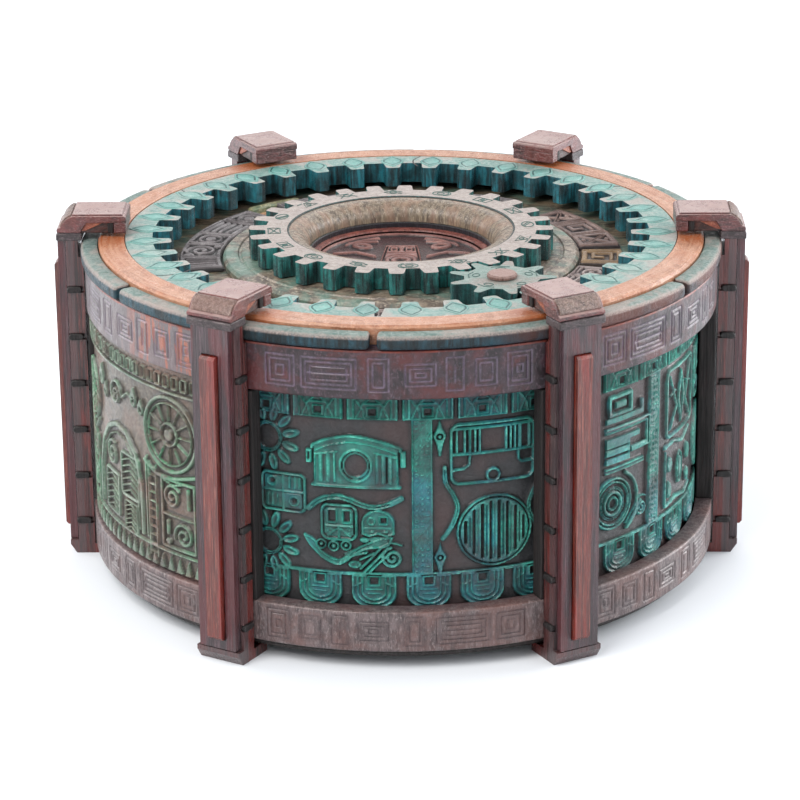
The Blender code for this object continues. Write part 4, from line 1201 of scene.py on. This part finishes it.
# pillars: rounded boards and strips, pegs in the notches, and the arm over the lid
armLook = {"half": 7.8, "core": 6.7, "postHalf": 7.6, "inset": 0.75, "wedge": 0.35, "groove": 0.4}
pegLook = {"count": 6, "first": 11.6, "step": 15.74, "half": 0.75, "out": 0.1}
armLow = level("arm_front_left")[0]
half, inset = armLook["half"], armLook["inset"]
for name, bearing in pillars.items():
    refinish("pillar_post_" + name, "postRed", 0.35)
    refinish("face_board_" + name, "facePlum", 0.45)
    refinish("red_strip_" + name, "stripRed", 1.0)
    cap = [(86.4, 112.2), (99.0, 112.2), (101.0, 109.0), (108.2, 109.0), (108.5, 109.35), (108.5, 110.1),
           (108.0, 110.45),
           (107.3, 110.7), (106.6, 112.0), (105.3, 113.4), (104.0, 114.2), (103.2, 114.4), (87.1, 114.4),
           (86.4, 113.8)]
    slab = crossPiece("armSlab_" + name, cap, half, bearing, ["armPlum", "armFront", "lipPlum"], "frame",
                      edges=[0, 0, 0, 2, 2, 2, 2, 1, 1, 1, 1, 0, 0, 0], soft=0.5)
    pad = [(87.4, 114.2), (103.4, 114.2), (103.55, 114.5), (103.3, 114.9), (87.9, 114.9), (87.4, 114.5)]
    crossPiece("armPad_" + name, pad, half - inset, bearing, ["armPlum"], "frame", soft=0.3)
    slope = [(103.5, 113.9), (104.9, 113.2), (106.1, 112.0), (107.0, 110.6), (107.6, 110.75), (107.55, 111.2),
             (106.9, 112.5),
             (105.6, 113.9), (104.3, 114.7), (103.9, 114.65)]
    crossPiece("armSlope_" + name, slope, half - inset, bearing, ["armFront"], "frame", soft=0.25)
    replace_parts(slab, "arm_" + name)
    core = [(88.6, armLow + 0.1), (103.0, armLow + 0.1), (103.0, 112.6), (88.6, 112.6)]
    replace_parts(crossPiece("armCore_" + name, core, armLook["core"], bearing, "armCore", "frame", soft=0.2),
                "arm_" + name)
    inner = [(86.5, armLow + 0.1), (90.4, armLow + 0.1), (90.4, 112.4), (86.5, 112.4)]
    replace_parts(crossPiece("armEnd_" + name, inner, half - 0.15, bearing, "armPlum", "frame", soft=0.5),
                "arm_" + name)
    for side, mark in ((-1, "L"), (1, "R")):
        wedge = [(101.6, 109.4), (100.9, 112.3), (93.6, 112.3), (96.4, 110.9), (99.2, 109.6)]
        shift = side * (armLook["core"] + 0.25)
        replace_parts(crossPiece(f"armWedge{mark}_{name}", wedge, armLook["wedge"], bearing, "armOrange",
                               "frame",
                               soft=0.12, shift=shift), "arm_" + name)
        # a dark strip on each side of the arm: painted shade of the groove there
        recess = [(90.5, armLow + 0.15), (92.3, armLow + 0.15), (92.3, 112.3), (90.5, 112.3)]
        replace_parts(crossPiece(f"armGroove{mark}_{name}", recess, armLook["groove"], bearing, "pegDark",
                               "frame",
                               soft=0.3, shift=shift), "arm_" + name)
    collar = [(100.6, 106.4), (108.75, 106.4), (108.75, 108.4), (108.2, 108.9), (100.6, 108.9)]
    crossPiece("armCollar_" + name, collar, half, bearing, "collarGrey", "frame", soft=0.3)
    for i in range(pegLook["count"]):
        z = pegLook["first"] + pegLook["step"] * i
        for side, mark in ((-1, "L"), (1, "R")):
            peg = [(101.9, z - 0.95), (105.3, z - 1.15), (105.95, z - 0.7), (106.1, z), (105.7, z + 0.8),
                   (105.1, z + 1.1),
                   (101.9, z + 1.0), (101.3, z + 0.6), (101.15, z), (101.3, z - 0.6)]
            crossPiece(f"peg{mark}{i + 1}_{name}", peg, pegLook["half"], bearing, "pegDark", "frame",
                       soft=0.45,
                       shift=side * (armLook["postHalf"] + pegLook["out"]))
print("pillars dressed")


# lid: turning ring, gears, funnel, dial and glyph plates
def arcBar(name, profile, start, end, look, body, tip=1.2, steps=60):
    # a (radius, height) profile swept along the ring from one bearing to another, with rounded tips
    middle = np.mean(profile, 0)
    reach0 = math.radians(end - start) * middle[0]
    along = np.concatenate([tip * (1 - np.cos(np.linspace(0.12, math.pi / 2, 6))),
                            np.linspace(tip, reach0 - tip, steps)[1:-1],
                            reach0 - tip * (1 - np.cos(np.linspace(math.pi / 2, 0.12, 6)))])
    points = []
    for d in along:
        lack = max(0.0, tip - min(d, reach0 - d))
        inset = tip - math.sqrt(max(0.0, tip * tip - lack * lack))
        span = np.ptp(np.array(profile), 0)
        scale = 1 - 2 * inset / span
        r, z = (middle + (np.array(profile) - middle) * np.maximum(scale, 0.2)).T
        angle = math.radians(start) + d / middle[0]
        points.append(np.stack([r * math.sin(angle), -r * math.cos(angle), z], -1))
    count, rows = len(profile), len(points)
    quads = [(a * count + i, (a + 1) * count + i, (a + 1) * count + (i + 1) % count,
              a * count + (i + 1) % count)
             for a in range(rows - 1) for i in range(count)]
    for base, order in ((0, 1), ((rows - 1) * count, -1)):
        quads += [tuple(base + k for k in (i, i + 1, count - 2 - i,
                                           count - 1 - i))[::order] for i in range(count // 2 - 1)]
    return addPiece(name, quadMesh(name, np.concatenate(points), np.array(quads), smooth=40), look, body)


rimLook = {"joints": (-3.7, 59.7, 123.6, 177.4, 238.4, 302.9), "jointHalf": 1.1, "radius": 99}
low, high = level("rim_segment_1")
rimProfile = [(96.0, low), (100.6, low), (101.1, low + 0.4), (101.3, low + 1.0), (101.3, high - 1.5),
              (101.0, high - 0.7),
              (100.3, high - 0.15), (99.4, high), (96.9, high), (96.0, high - 0.3)]
jointHalf = math.degrees(rimLook["jointHalf"] / rimLook["radius"])
for i, start in enumerate(rimLook["joints"]):
    end = rimLook["joints"][(i + 1) % 6] + (360 if i == 5 else 0)
    piece = arcBar(f"rimBar_{i + 1}", rimProfile, start + jointHalf, end - jointHalf, "rimSlate", "lid_ring")
    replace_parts(piece, f"rim_segment_{i + 1}")
plainLooks = {"copper_ring": ("copper", 0.4), "ring_gear": ("ringTeal", 0.3), "sun_gear": ("sunPink", 0.3),
              "pinion": ("pinionGreen", 0.3), "pinion_pin": ("pinBrown", 0.25),
              "pedestal": ("pedestalOchre", 0.25),
              "lid_floor": ("floorOlive", None), "base_plate": ("baseBlack", None),
              "drum_floor": ("innerPly", 0.2),
              "centre_column": ("innerPly", 0.2), "drum_bearing_ring": ("pinBrown", 0.2),
              "spindle": ("pinBrown", 0.2)}
for node, (look, soft) in plainLooks.items():
    refinish(node, look, soft)

# leaf shapes on the toothed ring, one on each tooth
leafLook = {"teeth": 38, "tooth": 31.5, "from": 74.4, "to": 86.9, "half": 3.9}


def stackLoops(name, outlines, bottom, look, body, values):
    # plates drawn as loops of (x, y, z) from the foot inwards, closed over by their middle
    points, quads, carve = [], [], []
    for loops in outlines:
        count = len(loops[0])
        base = len(points)
        for k, loop in enumerate([[(x, y, bottom) for x, y, z in loops[0]], *loops]):
            points += loop
            carve += [0.0 if k == 0 else values[k - 1]] * count
        for k in range(len(loops)):
            for i in range(count):
                j = (i + 1) % count
                a, b = base + k * count, base + (k + 1) * count
                quads.append((a + i, a + j, b + j, b + i))
        for k, order in ((0, -1), (len(loops), 1)):
            ring = [base + k * count + i for i in range(count)]
            half = count // 2
            for i in range(half - 1):
                quad = (ring[i], ring[i + 1], ring[count - 2 - i], ring[count - 1 - i])
                quads.append(quad[::order])
    carve = np.array(carve)
    # edge marks the raised rims for rubbed paint and painted highlight; hollow marks the foot and the groove
    # for grime and painted shade
    edge = np.where((carve > 0.55) & (carve < 0.85), 0.6, 0.0)
    return addPiece(name, quadMesh(name, np.array(points), np.array(quads), smooth=35, carve=carve, edge=edge,
                                   hollow=np.where(carve < 0.3, 0.55, 0.0)), look, body)


def leafLoops(bearing):
    low, high = leafLook["from"], leafLook["to"]
    middle = (low + high) / 2 + 0.6
    steps, shape = 13, []
    for i in range(steps):
        r = low + (high - low) * i / (steps - 1)
        shape.append((r, leafLook["half"] * math.sin(math.pi * (i + 0.35) / (steps - 0.3)) ** 1.25))
    outline = shape + [(r, -half) for r, half in reversed(shape)]
    top = level("ring_gear")[1]
    loops = []
    for share, rise in ((1.0, 0.02), (0.95, 0.2), (0.84, 0.24), (0.78, 0.06), (0.71, 0.06), (0.64, 0.26),
                        (0.2, 0.32)):
        loop = []
        for r, half in outline:
            r1, h1 = middle + (r - middle) * share, half * share
            angle = math.radians(bearing) + h1 / r1
            loop.append((r1 * math.sin(angle), -r1 * math.cos(angle), top + rise))
        loops.append(loop)
    return loops


stackLoops("ringLeaves",
           [leafLoops(leafLook["tooth"] + 360 * i / leafLook["teeth"]) for i in range(leafLook["teeth"])],
           level("ring_gear")[1] - 0.1, "leafTeal", "lid_ring", (0.5, 0.7, 0.7, 0.1, 0.1, 0.8, 1.0))


def ribbons(name, paths, low, high, width, look, body):
    # narrow raised lines along plan paths of (x, y)
    bm = bmesh.new()
    for path in paths:
        shut = math.dist(path[0], path[-1]) < 1e-6
        path = path[:-1] if shut else path
        rows, count = [], len(path)
        for i, (x, y) in enumerate(path):
            a = path[i - 1] if shut or i else path[i]
            b = path[(i + 1) % count] if shut or i < count - 1 else path[i]
            dx, dy = b[0] - a[0], b[1] - a[1]
            long = math.hypot(dx, dy) or 1.0
            nx, ny = -dy / long * width / 2, dx / long * width / 2
            rows.append([bm.verts.new((x + sx * nx, y + sx * ny, z))
                         for sx, z in ((-1, low), (1, low), (0.7, high), (-0.7, high))])
        for i in range(count if shut else count - 1):
            one, two = rows[i], rows[(i + 1) % count]
            for k in range(4):
                bm.faces.new((one[k], one[(k + 1) % 4], two[(k + 1) % 4], two[k]))
        if not shut:
            bm.faces.new(rows[0])
            bm.faces.new(rows[-1][::-1])
    return addPiece(name, meshFrom(bm, name), look, body)


def onWheel(path, bearing, radius):
    # a small drawing laid on a wheel: x along the rim, y outwards
    turn = math.radians(bearing)
    return [((radius + v) * math.sin(turn + u / radius), -(radius + v) * math.cos(turn + u / radius)) for u,
            v in path]


# thin bent seams across the toothed ring
splitLook = {"bearings": (60.1, 124.5, 176.6, -122.4, -57.8), "outer": 86.9, "long": 12.1, "bend": 1.5,
             "steps": 8}
ringTop = level("ring_gear")[1]
splits = []
for bearing in splitLook["bearings"]:
    path = []
    for i in range(splitLook["steps"] + 1):
        r = splitLook["outer"] - splitLook["long"] * i / splitLook["steps"]
        turn = math.radians(bearing + splitLook["bend"] * math.sin(math.pi * i / splitLook["steps"]))
        path.append((r * math.sin(turn), -r * math.cos(turn)))
    splits.append(path)
ribbons("ringSplits", splits, ringTop - 0.05, ringTop + 0.06, 0.55, "pegDark", "lid_ring")


# small signs drawn on the sun wheel and the pinion, in mm about their own middle
loopOf = lambda a, b, cx=0.0, cy=0.0: arc(cx, cy, a, b, 0, 360, 16)
boxOf = lambda w, h, cx=0.0, cy=0.0: [(cx - w, cy - h), (cx + w, cy - h), (cx + w, cy + h), (cx - w, cy + h),
                                      (cx - w, cy - h)]
sunSigns = [
    [loopOf(2.7, 2.0), loopOf(1.2, 0.9), arc(0, 0, 3.4, 2.6, 120, 240, 8)],
    [boxOf(2.9, 1.9), arc(0, 2.4, 2.6, 2.2, 205, 335, 8), arc(0, -2.4, 2.6, 2.2, 25, 155, 8)],
    [[(-2.8, -1.6), (0, 1.9), (2.8, -1.6), (-2.8, -1.6)], loopOf(0.8, 0.7, 0, -0.4),
     [(-3.0, 1.8), (-0.9, 1.9)], [(0.9, 1.9), (3.0, 1.8)]],
    [[(-2.9, 0), (0, -2.0), (2.9, 0), (0, 2.0), (-2.9, 0)], loopOf(1.1, 0.8), [(-2.9, -1.9), (-1.6, -1.9)],
     [(1.6, 1.9), (2.9, 1.9)]],
    [boxOf(2.8, 1.7), [(-0.9, -1.7), (-0.9, 1.7)], [(0.9, -1.7), (0.9, 1.7)], loopOf(0.45, 0.8)],
    [loopOf(2.8, 1.9), [(-2.0, -1.2), (2.0, 1.2)], [(-1.2, -1.6), (2.6, 0.6)]],
    [[(-3, -1.8), (-1.2, 0), (-3, 1.8)], [(3, -1.8), (1.2, 0), (3, 1.8)], loopOf(1.0, 1.2),
     [(-1.4, 1.9), (1.4, 1.9)]],
]
signLook = {"sunCount": 16, "sunStart": 4.6, "sunRadius": 40.3, "pinionCount": 5, "pinionStart": 40,
            "pinionRadius": 8.4}
sunTop, pinionTop = level("sun_gear")[1], level("pinion")[1]
ribbons("sunSigns", [onWheel(path, signLook["sunStart"] + 360 * i / signLook["sunCount"],
                             signLook["sunRadius"])
                     for i in range(signLook["sunCount"]) for path in sunSigns[i * 3 % 7]],
        sunTop - 0.05, sunTop + 0.12, 0.45, "lineTeal", "sun")
low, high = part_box("pinion")
pinionX, pinionY = (low[0] + high[0]) / 2 / mm, (low[1] + high[1]) / 2 / mm
pinionPaths = []
for i in range(signLook["pinionCount"]):
    bearing = signLook["pinionStart"] + 360 // signLook["pinionCount"] * i
    for path in (loopOf(1.5, 1.1), [(-2.4, 1.9), (0, 2.4), (2.4, 1.9)]):
        pinionPaths.append([(pinionX + x, pinionY + y) for x,
                            y in onWheel(path, bearing, signLook["pinionRadius"])])
ribbons("pinionSigns", pinionPaths, pinionTop - 0.05, pinionTop + 0.12, 0.4, "lineTeal", "pinion_wheel")


# knurled funnel and the well under it
funnelLook = {"ridges": 84, "ripple": 0.32}


def funnelRipple(bearing, i):
    if 3 <= i <= 11:
        fade = math.sin(math.pi * (i - 2.5) / 9.5)
        wave = np.abs(np.sin(bearing * funnelLook["ridges"] / 2)) * (0.7 + 0.3 * np.sin(bearing * 17 + 1.3))
        return -funnelLook["ripple"] * fade * wave
    return 0 * bearing


low, high = level("funnel_insert")
bowl = [(35.75, low), (35.75, high - 0.5), (35.5, high - 0.1)] + [
    (29.3 + 6.0 * (1 - math.sin(math.radians(t))) ,
     high - 6.3 + 6.2 * math.cos(math.radians(t))) for t in range(8, 91, 9)]
bowl += [(29.25, low)]
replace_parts(turned("knurledFunnel", bowl, "funnelOchre", "sun", 504, funnelRipple), "funnel_insert")
turned("funnelLip", [(35.7, high - 0.7), (36.05, high - 0.7), (36.05, high + 0.12), (35.8, high + 0.2),
                     (35.5, high + 0.1)],
       "lineDark", "sun", 240)
turned("wellSleeve", [(28.95, 95.0), (28.5, 95.0), (28.5, 101.0), (28.8, 101.25), (28.95, 101.0)],
       "wellBlack", "frame", 240)
turned("wellRing", [(28.45, 98.5), (27.0, 98.5), (26.4, 98.9), (26.6, 99.3), (28.45, 99.6)], "wellRed",
       "drum", 240)


def discMesh(name, board, radius, top, depth, bottom, rings=110, spokes=420):
    # a square drawing cut to a round plate
    r = np.linspace(0.02, radius, rings)
    bearing = np.arange(spokes) / spokes * math.tau
    x, y = np.outer(r, np.sin(bearing)), np.outer(r, -np.cos(bearing))
    fields = board.fields()
    fx = np.clip((x - board.x[0]) / (board.x[-1] - board.x[0]) * (len(board.x) - 1), 0, len(board.x) - 1.001)
    fy = np.clip((y - board.y[0]) / (board.y[-1] - board.y[0]) * (len(board.y) - 1), 0, len(board.y) - 1.001)
    ix, iy = fx.astype(int), fy.astype(int)
    ux, uy = fx - ix, fy - iy
    taken = {}
    for label, data in fields.items():
        lowRow = data[iy, ix] * (1 - ux) + data[iy, ix + 1] * ux
        highRow = data[iy + 1, ix] * (1 - ux) + data[iy + 1, ix + 1] * ux
        taken[label] = lowRow * (1 - uy) + highRow * uy
    z = top - depth * (1 - taken["carve"])
    face = np.stack([x, y, z], -1)
    under = np.stack([x[[0, -1]], y[[0, -1]], np.full((2, spokes), bottom)], -1)
    return closedShell(name, face[::-1], under[::-1], True,
                       {label: data[::-1] for label, data in taken.items()})


# carving of the dial at the bottom of the funnel
dialMotif = [
    ("fill", (-7.4, -12.6), (7.4, -12.6), (5.2, 12.8), (-5.2, 12.8)),
    ("cut:line", 0.5, (-6.6, -12), (-4.6, 12)),
    ("cut:line", 0.5, (6.6, -12), (4.6, 12)), ("cut:frame", -2.4, 8.8, 3.4, 5.4, 0.5, 1.2),
    ("cut:frame", 2.4, 8.8, 3.4, 5.4, 0.5, 1.2),
    ("cut:oval", -2.4, 8.8, 0.7, 1.4), ("cut:oval", 2.4, 8.8, 0.7, 1.4),
    ("cut:line", 0.5, (-5.6, 4.6), (5.6, 4.6)),
    ("cut:ring", 0, -2.4, 5.6, 5.2, 0.5), ("cut:ring", 0, -2.4, 3.8, 3.6, 0.5),
    ("cut:oval", 0, -2.4, 1.8, 1.7),
    ("cut:line", 0.5, (-6.4, -9.6), (6.4, -9.6)), ("ring", 0, 0, 26.6, 26.6, 1.2),
]
for side in (-1, 1):
    dialMotif += [
        ("fill", (side * 9.2, -13.4), (side * 18.6, -13.0), (side * 22.2, -4.0), (side * 16.4, -0.6),
         (side * 9.4, -5.6)),
        ("cut:oval", side * 15.0, -8.0, 2.6, 2.0), ("cut:line", 0.6, (side * 10.4, -11.8),
                                                    (side * 19.8, -4.6)),
        ("line", 1.4, (side * 8.6, 2.0), (side * 14.4, 6.2), (side * 21.4, 5.0)),
        ("oval", side * 12.6, 12.8, 3.6, 2.6, 30 * side),
        ("cut:oval", side * 12.6, 12.8, 1.6, 1.0, 30 * side),
        ("line", 1.0, (side * 8.0, 17.6), (side * 17.2, 16.0)),
        ("line", 1.0, (side * 8.2, -17.0), (side * 17.0, -16.4)),
        ("line", 1.2, *arc(0, 0, 22.6, 22.6, 90 - side * 20, 90 - side * 52))]
dialLook = {"half": 28, "radius": 27.8, "depth": 1.0, "fine": 4.0}
low, high = level("centre_dial")
dialBoard = Board(2 * dialLook["half"], -dialLook["half"], dialLook["half"], dialLook["fine"])
dialBoard.x = dialBoard.x - dialLook["half"]
dialBoard.stamp(dialMotif)
dial = discMesh("carvedDial", dialBoard, dialLook["radius"], high, dialLook["depth"], low)
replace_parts(addPiece("carvedDial", dial, "dialBrown", "drum"), "centre_dial")

# carved plates in the recess: from and to bearings, finish, signs
glyphs = {
    "eye": [("frame", 0, 0, 11.4, 11.8, 1.0, 2.6), ("ring", 0, 0, 4.2, 3.9, 0.9), ("oval", 0, 0, 1.9, 1.7),
            ("line", 0.7, (-4.6, -4.6), (-3.4, -3.4)), ("line", 0.7, (4.6, 4.6), (3.4, 3.4))],
    "comb": [("frame", 0, 0, 10.6, 11.8, 0.9, 0.8)] + [("line", 0.9, (-3.4 + i * 2.3, -4.4),
                                                        (-3.4 + i * 2.3, 4.2)) for i in range(4)],
    "bars": [("line", 1.2, (-5, -4.8 + i * 2.4), (5, -4.8 + i * 2.4)) for i in range(5)],
    "key": [("frame", 0, 0, 11.2, 11.8, 1.2, 0.4), ("line", 1.2, (-3.0, 3.0), (3.0, 3.0), (3.0, -2.8),
                                                    (-0.8, -2.8), (-0.8, 0.2))],
    "knot": [("line", 1.1, *coil(0, 0, 5.2, 1.8, 30)), ("oval", 4.8, 4.4, 1.1, 1.3),
             ("oval", -4.8, -4.4, 1.1, 1.3),
             ("line", 0.8, (-5, 5.4), (1, 5.6)), ("line", 0.8, (5, -5.4), (-1, -5.6))],
    "cross": [("frame", 0, 0, 11.2, 11.8, 1.2, 0.6), ("line", 1.5, (-4.0, -4.2), (4.0, 4.2)),
              ("line", 1.5, (-4.0, 4.2), (4.0, -4.2)),
              ("cut:line", 0.4, (-3.6, -3.8), (3.6, 3.8)), ("oval", 0, 3.8, 1.0, 0.8),
              ("oval", 0, -3.8, 1.0, 0.8)],
}
plates = {
    "glyph_plate_left": (-133, -76, "glyphGrey", ("eye", "bars", "eye", "knot", "comb")),
    "glyph_plate_rear_left": (-178, -142, "glyphGrey", ("key", "eye", "bars")),
    "glyph_plate_rear_right": (146, 178, "glyphGrey", ("knot", "key", "comb")),
    "glyph_plate_right_rear": (97, 133, "glyphBrown", ("cross", "key", "cross")),
    "glyph_plate_right": (80, 93, "glyphOrange", ("key",)),
    "glyph_plate_right_front": (56, 76, "glyphPink", ("bars", "knot")),
    "glyph_plate_front": (-9, 9, "glyphPink", ("comb", "eye")),
}
plateLook = {"fine": 3.6, "depth": 0.9, "radii": (57.0, 70.5)}
for node, (start, end, look, names) in plates.items():
    inner, outer = plateLook["radii"]
    long = math.radians(end - start) * (inner + outer) / 2
    board = Board(long, inner, outer, plateLook["fine"])
    board.stamp([("frame", long / 2, 0, long - 0.6, outer - inner - 0.6, 0.8, 0.8)], 0, (inner + outer) / 2)
    for i, glyph in enumerate(names):
        board.stamp(glyphs[glyph], (i + 0.5) * long / len(names), (inner + outer) / 2,
                    min(1.0, long / len(names) / 12.6))
        if i:
            board.mark(("line", 0.7, (0, -6.4), (0, 6.4)), i * long / len(names), (inner + outer) / 2)
    low, high = level(node)
    mesh = layBoard(node + "_relief", board, start, end, high, plateLook["depth"], low)
    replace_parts(addPiece(node.replace("glyph_plate", "glyphs"), mesh, look, "frame"), node)

# two small bars at the back of the recess
floorTop = level("lid_floor")[1]
barProfile = [(69.0, floorTop), (72.6, floorTop), (72.9, floorTop + 0.8), (72.2, floorTop + 1.9),
              (70.6, floorTop + 2.2),
              (69.2, floorTop + 1.6)]
arcBar("rearBar", barProfile, -150, -134, "barOchre", "frame", tip=0.9, steps=24)
flatProfile = [(61.5, floorTop), (66.6, floorTop), (66.6, floorTop + 1.1), (61.5, floorTop + 1.3)]
arcBar("rearFlat", flatProfile, -141.0, -134, "flatOrange", "frame", tip=0.5, steps=12)
print("lid dressed")
